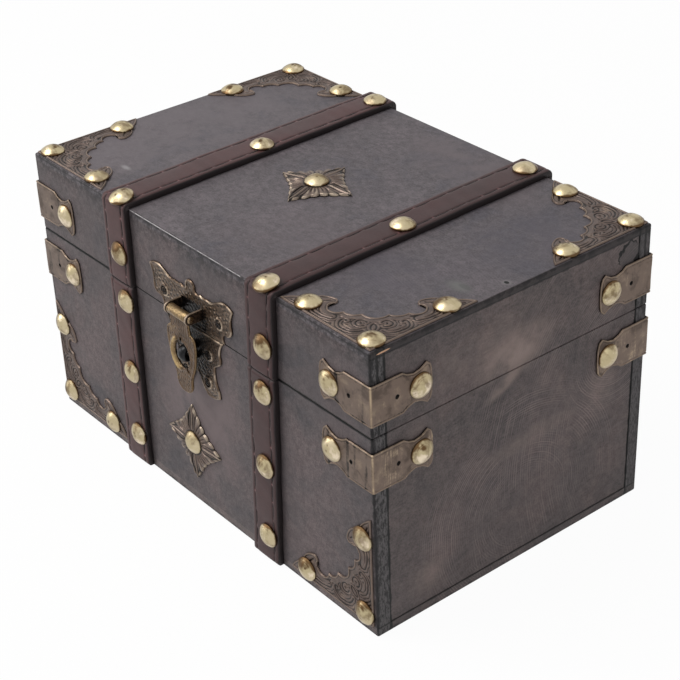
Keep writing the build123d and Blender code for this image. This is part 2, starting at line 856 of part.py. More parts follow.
def hinge_leaf(x_middle, upward):
    """A hinge leaf on the back: outer knuckles on the lid, the middle one on the body."""
    half = hinge_width / 2
    middle = hinge_knuckle_width / 2
    near = min(upward * seam_gap / 2, upward * hinge_leaf_height)
    far = max(upward * seam_gap / 2, upward * hinge_leaf_height)
    leaf = block(
        (x_middle - half, half_depth, seam_height + near),
        (x_middle + half, half_depth + hinge_leaf_thickness, seam_height + far))
    reach = hinge_knuckle_radius + hinge_notch_gap
    centre_part = (-middle, middle)
    side_parts = ((-half, -middle - hinge_side_gap), (middle + hinge_side_gap, half))
    own = side_parts if upward > 0 else (centre_part,)
    other = (centre_part,) if upward > 0 else side_parts
    for low, high in other:
        leaf -= block(
            (x_middle + low - hinge_side_gap, half_depth - overrun, seam_height - reach),
            (x_middle + high + hinge_side_gap, half_depth + hinge_leaf_thickness + overrun,
             seam_height + reach))
    for low, high in own:
        leaf += shaft(hinge_axis(x_middle), hinge_knuckle_radius, low, high)
    bore = shaft(hinge_axis(x_middle), hinge_pin_radius + hinge_pin_clearance,
                 -half - overrun, half + overrun)
    return leaf - bore - hinge_screw_holes(x_middle, upward)


def hinge_pin(x_middle):
    """The pin through a hinge's knuckles, just longer than they are."""
    reach = hinge_width / 2 + hinge_pin_overhang
    return shaft(hinge_axis(x_middle), hinge_pin_radius, -reach, reach)


def hinge_screw_places(x_middle, upward):
    """Places of a leaf's two screws on the back face."""
    height = seam_height + upward * hinge_screw_height
    return [seat_at(back_face, -x_middle + side * hinge_screw_side, height, hinge_leaf_thickness)
            for side in (-1, 1)]


def hinge_screws(upward):
    """The screws of both hinges' leaves above or below the seam."""
    one = shaft(Pos(0, 0, 0), hinge_screw_radius, -(hinge_leaf_thickness + hinge_screw_bite),
                hinge_screw_head_height)
    one += shaft(Pos(0, 0, 0), hinge_screw_head_radius, 0, hinge_screw_head_height)
    return [place * one for x_middle in (-hinge_x, hinge_x)
            for place in hinge_screw_places(x_middle, upward)]


def hinge_screw_holes(x_middle, upward):
    """The holes for a leaf's screws, through the leaf and into the board."""
    depth = hinge_leaf_thickness + hinge_screw_bite + nail_hole_spare
    radius = hinge_screw_radius + nail_hole_clearance
    return [shaft(place, radius, -depth, overrun) for place in hinge_screw_places(x_middle, upward)]


# Every nail place, by what it holds down
straps = (left_strap, right_strap)
on_body = (0, seam_height)
on_lid = (seam_height, lid_height)
body_front_strap_places = [p for s in straps
                           for p in strap_front_nail_places(s, s["body_nails"], *on_body)]
body_back_strap_places = [p for s in straps
                          for p in strap_back_nail_places(s, back_body_nail_shares, *on_body)]
lid_front_strap_places = [p for s in straps
                          for p in strap_front_nail_places(s, s["lid_nails"], *on_lid)]
lid_back_strap_places = [p for s in straps
                         for p in strap_back_nail_places(s, back_lid_nail_shares, *on_lid)]
lid_top_strap_places = [p for s in straps for p in strap_top_nail_places(s)]
lid_bend_places = [strap_bend_nail_place(s) for s in straps]
bend_seat = strap_thickness + bend_nail_lift
lid_latch_pin_places = latch_pin_places(lid_latch_pin_shares, latch_lid_plate_height)
body_latch_pin_places = latch_pin_places(body_latch_pin_shares, -latch_body_plate_height)


def corner_nail_holes(middle_v, long_sign=None, end_sign=None):
    """Holes for the bracket nails that go into one long board or one end board."""
    holes = []
    for _, x_sign, y_sign in bracket_corners():
        on_long, on_end = bracket_nail_places(x_sign, y_sign, middle_v)
        if long_sign == y_sign:
            holes.append(nail_hole(on_long, bracket_thickness, nail_bite))
        if end_sign == x_sign:
            holes.append(nail_hole(on_end, bracket_thickness, nail_bite))
    return holes


def build_body_boards():
    """The five boards of the chest's body, with the holes of what is nailed to them."""
    front = long_board(-1, bottom_thickness, body_top, True)
    front -= nail_holes(body_front_strap_places, strap_thickness, nail_bite)
    front -= corner_nail_holes(body_bracket_height, long_sign=-1)
    for _, corner, turn in front_plate_corners():
        places = corner_plate_nail_places(front_face, corner, turn)
        front -= nail_holes(places, plate_thickness, nail_bite)
    front -= nail_hole(front_diamond_place() * Pos(0, 0, diamond_thickness), diamond_thickness, nail_bite)
    front -= staple_holes() + latch_pin_holes(body_latch_pin_places)
    save("front_board", front)

    back = long_board(1, bottom_thickness, body_top, True)
    back -= nail_holes(body_back_strap_places, strap_thickness, nail_bite)
    back -= corner_nail_holes(body_bracket_height, long_sign=1)
    back -= hinge_screw_holes(-hinge_x, -1) + hinge_screw_holes(hinge_x, -1)
    save("back_board", back)

    for name, x_sign in (("left", -1), ("right", 1)):
        end = end_board(x_sign, bottom_thickness, body_top, True)
        end -= corner_nail_holes(body_bracket_height, end_sign=x_sign)
        save(f"{name}_end_board", end)
    save("bottom_board", bottom_board())


def build_lid_boards():
    """The top panel and the four boards of the lid, with the holes of what is nailed to them."""
    board_top = chest_height - top_thickness
    bend_holes = nail_holes(lid_bend_places, bend_seat, nail_bite)
    front = long_board(-1, lid_foot, board_top, False)
    front -= nail_holes(lid_front_strap_places, strap_thickness, nail_bite)
    front -= corner_nail_holes(lid_bracket_height, long_sign=-1)
    front -= latch_pin_holes(lid_latch_pin_places)
    front -= bend_holes
    save("lid_front_board", front)

    back = long_board(1, lid_foot, board_top, False)
    back -= nail_holes(lid_back_strap_places, strap_thickness, nail_bite)
    back -= corner_nail_holes(lid_bracket_height, long_sign=1)
    back -= hinge_screw_holes(-hinge_x, 1) + hinge_screw_holes(hinge_x, 1)
    save("lid_back_board", back)

    for name, x_sign in (("left", -1), ("right", 1)):
        end = end_board(x_sign, lid_foot, board_top, False)
        end -= corner_nail_holes(lid_bracket_height, end_sign=x_sign)
        save(f"lid_{name}_end_board", end)

    panel = top_panel()
    panel -= bend_holes
    panel -= nail_holes(lid_top_strap_places, strap_thickness, top_nail_bite)
    for _, corner, turn in top_plate_corners():
        places = corner_plate_nail_places(top_face, corner, turn)
        panel -= nail_holes(places, plate_thickness, top_nail_bite)
    panel -= nail_hole(lid_diamond_place() * Pos(0, 0, diamond_thickness), diamond_thickness, top_nail_bite)
    save("lid_top_panel", panel)


def build_straps():
    """The padded straps on the body and over the lid, and their nails."""
    for name, strap in (("left", left_strap), ("right", right_strap)):
        front = strap_on_front(strap, strap_foot, body_top)
        front -= nail_holes(body_front_strap_places, strap_thickness, nail_bite)
        save(f"{name}_front_strap", front)
        back = strap_on_back(strap, strap_foot, seam_height - back_strap_break)
        back -= nail_holes(body_back_strap_places, strap_thickness, nail_bite)
        save(f"{name}_back_strap", back)
        over = lid_strap(strap)
        over -= nail_holes(lid_front_strap_places + lid_back_strap_places, strap_thickness, nail_bite)
        over -= nail_holes(lid_top_strap_places, strap_thickness, top_nail_bite)
        over -= nail_holes(lid_bend_places, bend_seat, nail_bite)
        save(f"{name}_lid_strap", over)
    body_places = body_front_strap_places + body_back_strap_places
    save("body_strap_nails", group(nails(body_places, strap_thickness, nail_bite)))
    lid_nails = nails(lid_front_strap_places + lid_back_strap_places, strap_thickness, nail_bite)
    lid_nails += nails(lid_top_strap_places, strap_thickness, top_nail_bite)
    lid_nails += nails(lid_bend_places, bend_seat, nail_bite)
    save("lid_strap_nails", group(lid_nails))


def build_brackets():
    """Eight bent corner brackets and their nails, four above and four below the seam."""
    for level, middle_v in (("lid", lid_bracket_height), ("body", body_bracket_height)):
        places = []
        for name, x_sign, y_sign in bracket_corners():
            save(f"{level}_bracket_{name}", corner_bracket(x_sign, y_sign, middle_v))
            places += bracket_nail_places(x_sign, y_sign, middle_v)
        save(f"{level}_bracket_nails", group(nails(places, bracket_thickness, nail_bite)))


def build_corner_plates():
    """Four ornamented plates on the lid, two on the front, and their nails."""
    places = []
    for name, corner, turn in top_plate_corners():
        save(f"lid_corner_plate_{name}", corner_plate(top_face, corner, turn, top_nail_bite))
        places += corner_plate_nail_places(top_face, corner, turn)
    save("lid_corner_nails", group(nails(places, plate_thickness, top_nail_bite)))
    places = []
    for name, corner, turn in front_plate_corners():
        save(f"front_corner_plate_{name}", corner_plate(front_face, corner, turn, nail_bite))
        places += corner_plate_nail_places(front_face, corner, turn)
    save("front_corner_nails", group(nails(places, plate_thickness, nail_bite)))


def build_diamonds():
    """The two ribbed diamonds and the nail in the middle of each."""
    lift = Pos(0, 0, diamond_thickness)
    save("front_diamond", diamond(front_diamond_place(), nail_bite))
    save("front_diamond_nail", front_diamond_place() * lift * nail(diamond_thickness, nail_bite))
    save("lid_diamond", diamond(lid_diamond_place(), top_nail_bite))
    save("lid_diamond_nail", lid_diamond_place() * lift * nail(diamond_thickness, top_nail_bite))


def build_latch():
    """The latch: plates, pins and staple, and the tongue on its pin."""
    save("latch_lid_plate", latch_lid_plate())
    save("latch_lid_pins", group(latch_pins(lid_latch_pin_places)))
    save("latch_hasp_pin", hasp_pin())
    save("latch_body_plate", latch_body_plate())
    save("latch_body_pins", group(latch_pins(body_latch_pin_places)))
    save("latch_staple", staple())
    save("latch_tongue", tongue())


def build_hinges():
    """Two small hinges on the back, with their pins and screws."""
    for name, x_middle in (("left", -hinge_x), ("right", hinge_x)):
        save(f"{name}_hinge_lid_leaf", hinge_leaf(x_middle, 1))
        save(f"{name}_hinge_body_leaf", hinge_leaf(x_middle, -1))
        save(f"{name}_hinge_pin", hinge_pin(x_middle))
    save("hinge_lid_screws", group(hinge_screws(1)))
    save("hinge_body_screws", group(hinge_screws(-1)))


os.makedirs("parts", exist_ok=True)
build_body_boards()
build_lid_boards()
build_straps()
build_brackets()
build_corner_plates()
build_diamonds()
build_latch()
build_hinges()
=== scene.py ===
import math

import bmesh
import bpy
import numpy as np
from mathutils import Matrix, Vector


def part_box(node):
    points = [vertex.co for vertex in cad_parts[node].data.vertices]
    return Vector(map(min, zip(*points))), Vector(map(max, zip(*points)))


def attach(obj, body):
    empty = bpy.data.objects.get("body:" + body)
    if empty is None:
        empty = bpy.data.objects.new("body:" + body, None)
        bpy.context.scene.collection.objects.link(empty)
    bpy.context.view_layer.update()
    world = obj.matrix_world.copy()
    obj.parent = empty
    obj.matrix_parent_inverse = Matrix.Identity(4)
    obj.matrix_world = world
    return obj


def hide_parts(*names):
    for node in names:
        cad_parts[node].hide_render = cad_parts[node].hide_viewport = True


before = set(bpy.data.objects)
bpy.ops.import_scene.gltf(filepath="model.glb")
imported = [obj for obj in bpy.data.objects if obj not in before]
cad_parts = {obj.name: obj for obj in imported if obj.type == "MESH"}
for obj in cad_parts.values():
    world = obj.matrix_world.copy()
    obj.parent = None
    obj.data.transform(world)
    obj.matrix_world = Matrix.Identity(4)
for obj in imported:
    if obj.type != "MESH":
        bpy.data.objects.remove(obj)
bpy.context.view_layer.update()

bl_info = {
    "name": "Treasure Chest Box",
    "version": (1, 0, 0),
    "blender": (4, 5, 0),
    "location": "View3D > Sidebar > Chest",
    "description": "Dresses a small boarded chest with straps, nails, plates and a hasp latch",
    "category": "Object",
}

# Lengths in this file are in millimetres, and become metres when a mesh is made
MM = 0.001

# The chest's own sizes, read from the frame
LOW, HIGH = 0, 1
X, Y, Z = 0, 1, 2
BOTTOM_BOX, PANEL_BOX, FRONT_BOX, LID_FRONT_BOX, LID_STRAP_BOX, BACK_STRAP_BOX, PIN_BOX = (
    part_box(name) for name in ("bottom_board", "lid_top_panel", "front_board", "lid_front_board",
                              "left_lid_strap", "left_back_strap", "latch_hasp_pin"))
HALF_W = BOTTOM_BOX[HIGH].x / MM
HALF_D = BOTTOM_BOX[HIGH].y / MM
TOP = PANEL_BOX[HIGH].z / MM
SEAM = (FRONT_BOX[HIGH].z + LID_FRONT_BOX[LOW].z) / 2 / MM
BOARD = (FRONT_BOX[HIGH].y - FRONT_BOX[LOW].y) / MM
BOTTOM = BOTTOM_BOX[HIGH].z / MM
PANEL = (PANEL_BOX[HIGH].z - PANEL_BOX[LOW].z) / MM
STRAP_THICKNESS = (LID_STRAP_BOX[HIGH].z - PANEL_BOX[HIGH].z) / MM
STRAP_WIDTH = (BACK_STRAP_BOX[HIGH].x - BACK_STRAP_BOX[LOW].x) / MM
STRAP_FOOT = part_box("left_front_strap")[LOW].z / MM
BACK_BREAK = LID_STRAP_BOX[LOW].z / MM
# Span between the straps that holds the painted highlight on the front top arris
HIGHLIGHT_SPAN = (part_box("left_front_strap")[HIGH].x / MM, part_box("right_front_strap")[LOW].x / MM)
PIN = (PIN_BOX[LOW] + PIN_BOX[HIGH]) / 2 / MM
LATCH_X, PIN_OUT, PIN_HEIGHT = PIN.x, -HALF_D - PIN.y, PIN.z
STAPLE_HEIGHT = sum(corner.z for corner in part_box("latch_staple")) / 2 / MM

# Outer faces: origin, direction of u, direction of v and outward normal
FACES = {
    "front": ((0, -HALF_D, 0), (1, 0, 0), (0, 0, 1), (0, -1, 0)),
    "back": ((0, HALF_D, 0), (-1, 0, 0), (0, 0, 1), (0, 1, 0)),
    "right": ((HALF_W, 0, 0), (0, 1, 0), (0, 0, 1), (1, 0, 0)),
    "left": ((-HALF_W, 0, 0), (0, -1, 0), (0, 0, 1), (-1, 0, 0)),
    "top": ((0, 0, TOP), (1, 0, 0), (0, 1, 0), (0, 0, 1)),
}
FACES = {name: tuple(np.array(part, float) for part in face) for name, face in FACES.items()}


def on_face(face, u, v, h):
    """Points u along, v up and h out from a face."""
    origin, along, up, out = face
    u, v, h = np.broadcast_arrays(u, v, h)
    return origin + u[..., None] * along + v[..., None] * up + h[..., None] * out


def face_at(name, u, v, h=0.0, turn=0.0, tilt=0.0):
    """A face moved to (u, v, h), turned about its normal and tilted about its u, in degrees."""
    origin, along, up, out = FACES[name]
    moved = origin + u * along + v * up + h * out
    a, b = math.radians(turn), math.radians(tilt)
    side = math.cos(a) * along + math.sin(a) * up
    rise = -math.sin(a) * along + math.cos(a) * up
    return (moved, side, math.cos(b) * rise + math.sin(b) * out,
            math.cos(b) * out - math.sin(b) * rise)


def smooth(x, low, high):
    """0 below low, 1 above high, and 3x^2 - 2x^3 between."""
    t = np.clip((x - low) / (high - low), 0, 1)
    return t * t * (3 - 2 * t)


def fade(x, low, high):
    """1 below low and 0 above high, the rest of smooth."""
    return 1 - smooth(x, low, high)


def bump(x, width):
    """A bell exp(-(x / width)^2)."""
    return np.exp(-(x / width) ** 2)


def circle(count):
    """Angles all the way round, in even steps."""
    return np.linspace(0, math.tau, count, endpoint=False)


def eased(count):
    """Shares from 0 to 1 that lie closer at both ends: (1 - cos a) / 2."""
    return (1 - np.cos(np.linspace(0, math.pi, count))) / 2


def sine_spread(count):
    """Places from -1 to 1 that lie closer at both ends: sin a."""
    return np.sin(np.linspace(-math.pi / 2, math.pi / 2, count))


def polar(r, angle, centre=(0.0, 0.0)):
    """u and v at the distance r and the angle from a centre."""
    return centre[0] + r * np.cos(angle), centre[1] + r * np.sin(angle)


def arc(a, via, b, count):
    """Points on the circle through a, via and b: centre from the two chords, equal angle steps."""
    a, via, b = (np.array(p, float) for p in (a, via, b))
    m = 2 * np.array([via - a, b - a])
    if abs(np.linalg.det(m)) < 1e-9:
        return a + (b - a) * np.linspace(0, 1, count)[:, None]
    centre = np.linalg.solve(m, [via @ via - a @ a, b @ b - a @ a])
    angle = [math.atan2(*(p - centre)[::-1]) for p in (a, via, b)]
    forward = (angle[1] - angle[0]) % math.tau < (angle[2] - angle[0]) % math.tau
    sweep = (angle[2] - angle[0]) % math.tau if forward else -((angle[0] - angle[2]) % math.tau)
    turn = angle[0] + sweep * np.linspace(0, 1, count)
    radius = np.linalg.norm(a - centre)
    return centre + radius * np.stack([np.cos(turn), np.sin(turn)], -1)


def trace(start, spans, count=14):
    """A line of points through spans, each (via, end) for an arc or (end,) for a straight."""
    line = [np.array([start], float)]
    for span in spans:
        end = span[-1]
        here = line[-1][-1]
        via = span[0] if len(span) > 1 else (here + end) / 2
        line.append(arc(here, via, end, count)[1:])
    return np.vstack(line)


def distance(points, line):
    """Least distance from each point of a grid to a line: |p - a - t(b - a)|, t held in 0 to 1."""
    a, d = line[:-1], np.diff(line, axis=0)
    flat = points.reshape(-1, 2)[:, None]
    t = np.clip(((flat - a) * d).sum(-1) / np.maximum((d * d).sum(-1), 1e-12), 0, 1)
    return np.linalg.norm(flat - a - t[..., None] * d, axis=-1).min(1).reshape(points.shape[:-1])


def ripple(seed, *axes, scale=10.0, waves=6):
    """A smooth random field: a sum of sine waves of mixed directions, between about -1 and 1."""
    draw = np.random.default_rng(seed)
    total = 0.0
    for _ in range(waves):
        direction = draw.normal(size=len(axes))
        direction = direction / np.linalg.norm(direction) * draw.uniform(0.6, 1.4) / scale
        phase = draw.uniform(0, math.tau)
        total = total + np.sin(sum(k * axis for k, axis in zip(direction, axes)) * math.tau + phase)
    return total / math.sqrt(waves)


def closed(top, base, wrap_columns, relief, wear):
    """A grid whose face columns are followed by two base columns, so that its underside is flat."""
    pad = np.zeros((top.shape[0], 2))
    return Grid(np.concatenate([top, base[:, [-1, 0]]], 1), not wrap_columns, wrap_columns,
                relief=np.concatenate([relief, pad], 1),
                wear=np.concatenate([np.clip(wear, 0, 1), pad], 1))


def slab(face, u, v, level, wrap_columns, relief, wear):
    """A closed grid that stands at the level over a flat underside on a face."""
    return closed(on_face(face, u, v, level), on_face(face, u, v, np.zeros_like(level)),
                  wrap_columns, relief, wear)


class Grid:
    """Points in rows and columns, with the relief and wear stored at each."""

    def __init__(self, points, wrap_rows=False, wrap_columns=False, relief=0.0, wear=0.0):
        self.points = points
        self.wrap = (wrap_rows, wrap_columns)
        shape = points.shape[:2]
        self.relief = np.broadcast_to(relief, shape)
        self.wear = np.broadcast_to(wear, shape)

    def quads(self, base):
        """Corner numbers of every quad, with the last row or column joined to the first."""
        rows, columns = self.points.shape[:2]
        index = base + np.arange(rows * columns).reshape(rows, columns)
        if self.wrap[0]:
            index = np.vstack([index, index[:1]])
        if self.wrap[1]:
            index = np.hstack([index, index[:, :1]])
        corners = (index[:-1, :-1], index[1:, :-1], index[1:, 1:], index[:-1, 1:])
        return np.stack(corners, -1).reshape(-1, 4)


def build(name, grids, material, body, stands_for=()):
    """Makes one piece from its grids, joins seams and poles, and sets it on its body."""
    faces, base = [], 0
    for grid in grids:
        faces.append(grid.quads(base))
        base += grid.points.shape[0] * grid.points.shape[1]
    points = np.vstack([grid.points.reshape(-1, 3) for grid in grids]) * MM
    faces = np.vstack(faces)
    mesh = bpy.data.meshes.new(name)
    mesh.from_pydata(points.tolist(), [], faces.tolist())
    for key in ("relief", "wear"):
        values = np.concatenate([getattr(grid, key).ravel() for grid in grids])
        stored_values = mesh.attributes.new(key, "FLOAT", "POINT").data
        stored_values.foreach_set("value", values.astype(np.float32))
    joined = bmesh.new()
    joined.from_mesh(mesh)
    bmesh.ops.remove_doubles(joined, verts=joined.verts, dist=2e-6)
    bmesh.ops.recalc_face_normals(joined, faces=joined.faces)
    joined.to_mesh(mesh)
    joined.free()
    mesh.shade_smooth()
    mesh.materials.append(material)
    piece = bpy.data.objects.new(name, mesh)
    bpy.context.scene.collection.objects.link(piece)
    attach(piece, body)
    if stands_for:
        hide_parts(*stands_for)
    return piece


def dress(node_name, material):
    """Gives a CAD node its material."""
    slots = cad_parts[node_name].data.materials
    slots.clear()
    slots.append(material)


# Shader helpers

class Wire:
    """A node's output, on which arithmetic adds Math nodes."""

    def __init__(self, socket):
        self.socket = socket

    def __add__(self, other):
        return calc("ADD", self, other)

    def __sub__(self, other):
        return calc("SUBTRACT", self, other)

    def __rsub__(self, other):
        return calc("SUBTRACT", other, self)

    def __mul__(self, other):
        return calc("MULTIPLY", self, other)

    def __truediv__(self, other):
        return calc("DIVIDE", self, other)

    def __abs__(self):
        return calc("ABSOLUTE", self)


class Wires:
    """A node's outputs, each a wire, by name or number."""

    def __init__(self, outputs):
        self.outputs = outputs

    def __getitem__(self, key):
        return Wire(self.outputs[key])


def feed(socket, value):
    """Joins a wire to an input, or sets the input to a constant."""
    if isinstance(value, Wire):
        socket.id_data.links.new(value.socket, socket)
    else:
        socket.default_value = value


def node(tree, kind, inputs=(), **settings):
    """Adds a node, sets it up, feeds its inputs and returns its outputs."""
    made = tree.nodes.new(kind)
    for key, value in settings.items():
        setattr(made, key, value)
    for key, value in dict(inputs).items():
        feed(made.inputs[key], value)
    return Wires(made.outputs)


def fed(kind, inputs, **settings):
    """Adds a node to the tree that its wired inputs are in."""
    tree = next(v.socket.id_data for v in inputs.values() if isinstance(v, Wire))
    return node(tree, kind, inputs, **settings)


def calc(operation, *values, clamp=False):
    """A Math node on the given values."""
    return fed("ShaderNodeMath", dict(enumerate(values)), operation=operation, use_clamp=clamp)[0]


def multiply_add(a, b, c):
    """a * b + c in one node."""
    return calc("MULTIPLY_ADD", a, b, c)


def greater(a, b):
    """The greater of two values."""
    return calc("MAXIMUM", a, b)


def lesser(a, b):
    """The lesser of two values."""
    return calc("MINIMUM", a, b)


def vector_math(operation, *values):
    """A Vector Math node on the given values."""
    return fed("ShaderNodeVectorMath", dict(enumerate(values)), operation=operation)


def grey(value):
    """A grey of the given lightness."""
    return fed("ShaderNodeCombineColor", {0: value, 1: value, 2: value})[0]


def ramp(value, low, high, to_low=0.0, to_high=1.0):
    """A value mapped smoothly from one range to another."""
    inputs = {"Value": value, "From Min": low, "From Max": high, "To Min": to_low,
              "To Max": to_high}
    return fed("ShaderNodeMapRange", inputs, interpolation_type="SMOOTHSTEP")[0]


def mix(factor, a, b, mode="MIX"):
    """One colour laid over another by a factor."""
    return fed("ShaderNodeMix", {0: factor, 6: a, 7: b}, data_type="RGBA", blend_type=mode)[2]


def noise(vector, scale, detail=3.0, roughness=0.5, distortion=0.0, output="Fac"):
    """A noise value, or its colour."""
    inputs = {"Vector": vector, "Scale": scale, "Detail": detail, "Roughness": roughness,
              "Distortion": distortion}
    return fed("ShaderNodeTexNoise", inputs)[output]


def stretched(vector, scale):
    """The same coordinates, scaled."""
    return fed("ShaderNodeMapping", {"Vector": vector, "Scale": scale})[0]


SOCKETS = {float: "NodeSocketFloat", tuple: "NodeSocketColor", list: "NodeSocketVector"}


def shader_group(name, inputs, outputs):
    """An empty shader node group with named sockets; the kind of each default gives its type."""
    tree = bpy.data.node_groups.new(name, "ShaderNodeTree")
    for key, value in inputs.items():
        made = tree.interface.new_socket(name=key, in_out="INPUT", socket_type=SOCKETS[type(value)])
        made.default_value = value
    for key, value in outputs.items():
        tree.interface.new_socket(name=key, in_out="OUTPUT", socket_type=SOCKETS[value])
    start = Wires(tree.nodes.new("NodeGroupInput").outputs)
    end = tree.nodes.new("NodeGroupOutput").inputs
    return tree, start, end


def join(ends, **values):
    """Feeds a group's outputs, an underscore standing for a space."""
    for key, value in values.items():
        feed(ends[key.replace("_", " ")], value)


def use(group, inputs):
    """Places a group with its own values and returns its outputs."""
    return fed("ShaderNodeGroup", inputs, node_tree=group)


def times(values, *factors):
    """A colour's three parts, each times its own factor or all times one, held to 1."""
    return [min(1.0, c * k) for c, k in zip(values, factors * (3 // len(factors)))]


def colour(values):
    """A colour property as four numbers."""
    return (*values[:3], 1.0)


BLACK = (0.0, 0.0, 0.0, 1.0)
WHITE = (1.0, 1.0, 1.0, 1.0)


def stain_group():
    """Grey wood stain: soft clouds, patches of brushed strokes along one direction, fine specks."""
    tree, start, end = shader_group(
        "Wood Stain",
        {"Vector": [0.0, 0.0, 0.0], "Strokes": [0.0, 0.0, 0.0], "Base": WHITE, "Pale": WHITE,
         "Deep": BLACK, "Cloud": 0.5, "Brushing": 0.5},
        {"Colour": tuple, "Roughness": float, "Height": float})
    vector = start["Vector"]
    wide = noise(vector, 17.0, 3.0, 0.55, 0.6)
    middle = noise(vector, 62.0, 5.0, 0.62, 0.5)
    small = noise(vector, 330.0, 3.0, 0.6, 0.2)
    streak = noise(start["Strokes"], 760.0, 3.0, 0.65, 0.1)
    fine = noise(vector, 1300.0, 2.0, 0.6)
    cloud = multiply_add(wide, 0.5, middle * 0.5)
    pale = ramp(cloud, 0.49, 0.61) * start["Cloud"]
    deep = ramp(cloud, 0.49, 0.39) * start["Cloud"]
    toned = mix(pale, start["Base"], start["Pale"])
    toned = mix(deep, toned, start["Deep"])
    patchy = ramp(noise(vector, 48.0, 3.0, 0.6), 0.38, 0.62, 0.15, 1.0)
    brushed = ramp(streak, 0.36, 0.66, -1.0, 1.0) * start["Brushing"]
    brushed = brushed * patchy
    mottle = ramp(small, 0.3, 0.7, -0.5, 0.5)
    speck = ramp(fine, 0.3, 0.7, -0.5, 0.5)
    light = multiply_add(brushed, 0.34, multiply_add(mottle, 0.34, 1.0))
    light = multiply_add(speck, 0.36, light)
    toned = mix(1.0, toned, grey(light), "MULTIPLY")
    rough = multiply_add(middle, 0.22, multiply_add(brushed, 0.05, 0.44))
    height = streak * 0.7 + fine * 0.3
    join(end, Colour=toned, Roughness=rough, Height=height)
    return tree


def arris_group():
    """Dark grime along the box's outer edges, its joints and end grain, and a painted highlight
    along the front top arris.

    The distance to the nearest edge is the second smallest of the distances to the three
    pairs of outer planes.
    """
    tree, start, end = shader_group(
        "Edge Grime and Highlight",
        {"Vector": [0.0, 0.0, 0.0], "Half width": 0.12, "Half depth": 0.076, "Height": 0.135,
         "Seam": 0.097, "Board": 0.007, "Bottom": 0.0045, "Panel": 0.003, "Reach": 0.0016,
         "Rub from": -0.04, "Rub to": 0.04},
        {"Edge": float, "Line": float, "Grain": float, "Band": float, "Rub": float, "Soot": float})
    split = fed("ShaderNodeSeparateXYZ", {0: start["Vector"]})
    x, y, z = (split[axis] for axis in range(3))
    in_x = start["Half width"] - abs(x)
    in_y = start["Half depth"] - abs(y)
    under = start["Height"] - z
    in_z = lesser(under, z)
    low = lesser(in_x, in_y)
    high = greater(in_x, in_y)
    second = greater(low, lesser(high, in_z))
    ragged = noise(start["Vector"], 210.0, 4.0, 0.65)
    on_top = ramp(under, 0.001, 0.0004)
    reach = start["Reach"] * ramp(ragged, 0.3, 0.72, 0.25, 2.1)
    reach = reach * multiply_add(on_top, -0.62, 1.0)
    edge = 1.0 - ramp(second / reach, 0.25, 1.0)
    to_joint = abs(in_y - start["Board"])
    to_half = abs(multiply_add(start["Board"], -0.5, in_y))
    to_foot = abs(z - start["Bottom"])
    to_panel = abs(under - start["Panel"])
    on_end = ramp(in_x, 0.0009, 0.0005)
    wobble = ramp(ragged, 0.3, 0.7, 0.6, 1.5)
    joint = ramp(to_joint / wobble, 0.0008, 0.0003)
    above = ramp(z, start["Seam"], start["Seam"] + 0.001) * 0.9
    half = ramp(to_half / wobble, 0.0009, 0.0003) * above
    foot = ramp(to_foot / wobble, 0.0007, 0.0002)
    panel = ramp(to_panel / wobble, 0.0007, 0.0002)
    line = greater(greater(joint, half), greater(foot, panel) * 0.8)
    grain = ramp(in_y, 0.0072, 0.0066) * on_end
    band = ramp(under, start["Panel"], 0.0024) * on_end
    front = ramp(y, 0.0, -0.001)
    between = calc("GREATER_THAN", x, start["Rub from"]) * calc("LESS_THAN", x, start["Rub to"])
    # Painted highlight: a thin pale line on the front top arris between the straps
    highlight = ramp(second, 0.0005, 0.00022) * (ramp(under, 0.001, 0.0006) * front)
    highlight = highlight * (between * ramp(ragged, 0.32, 0.58, 0.12, 1.0))
    on_front = ramp(in_y, 0.0009, 0.0005) * front
    fine = noise(start["Vector"], 620.0, 3.0, 0.7)
    beyond = ramp(abs(x), 0.05, 0.062, 0.42, 1.0)
    width = beyond * ramp(ragged, 0.3, 0.7, 0.0007, 0.0013)
    to_seam = abs(z - start["Seam"])
    seam = ramp(to_seam / width, 1.0, 0.45) * on_front
    groove = on_front * (ramp(under, 0.0019, 0.0012) * ramp(under, 0.0004, 0.0008))
    flecks = ramp(multiply_add(ragged, 0.5, fine * 0.5), 0.42, 0.56)
    soot = ramp(under, 0.012, 0.0008) * on_front * flecks
    soot = greater(soot, groove * 0.85)
    line = greater(line * on_end, seam)
    join(end, Edge=edge, Line=line, Grain=grain, Band=band, Rub=highlight, Soot=soot)
    return tree


def sanding_group():
    """Arc-shaped sanding scratches: thin broken rings about a centre, between two radii."""
    tree, start, end = shader_group(
        "Sanding Marks",
        {"Vector": [0.0, 0.0, 0.0], "Centre": [0.0, 0.0, 0.0], "Spacing": 0.0016, "Inner": 0.01,
         "Outer": 0.05, "Seed": 0.0},
        {"Mask": float})
    vector = start["Vector"]
    away = vector_math("DISTANCE", vector, start["Centre"])["Value"]
    wander = noise(vector, 26.0, 2.0)
    ring = multiply_add(wander, 2.2, away / start["Spacing"])
    along = multiply_add(noise(vector, 14.0, 1.0), 9.0, start["Seed"])
    broken = fed("ShaderNodeCombineXYZ", {0: ring, 1: along, 2: start["Seed"]})[0]
    wave = calc("SINE", ring * math.tau)
    thin = ramp(wave, 0.1, 1.0) * ramp(noise(broken, 0.6, 3.0, 0.7), 0.36, 0.6)
    shifted = vector_math("ADD", vector, start["Centre"])[0]
    patch = ramp(noise(shifted, 38.0, 2.0, 0.5), 0.36, 0.62)
    width = (start["Outer"] - start["Inner"]) * 0.3
    inside = ramp(away, start["Inner"], start["Inner"] + width)
    outside = ramp(away, start["Outer"], start["Outer"] - width)
    reach = inside * outside
    join(end, Mask=thin * patch * reach)
    return tree


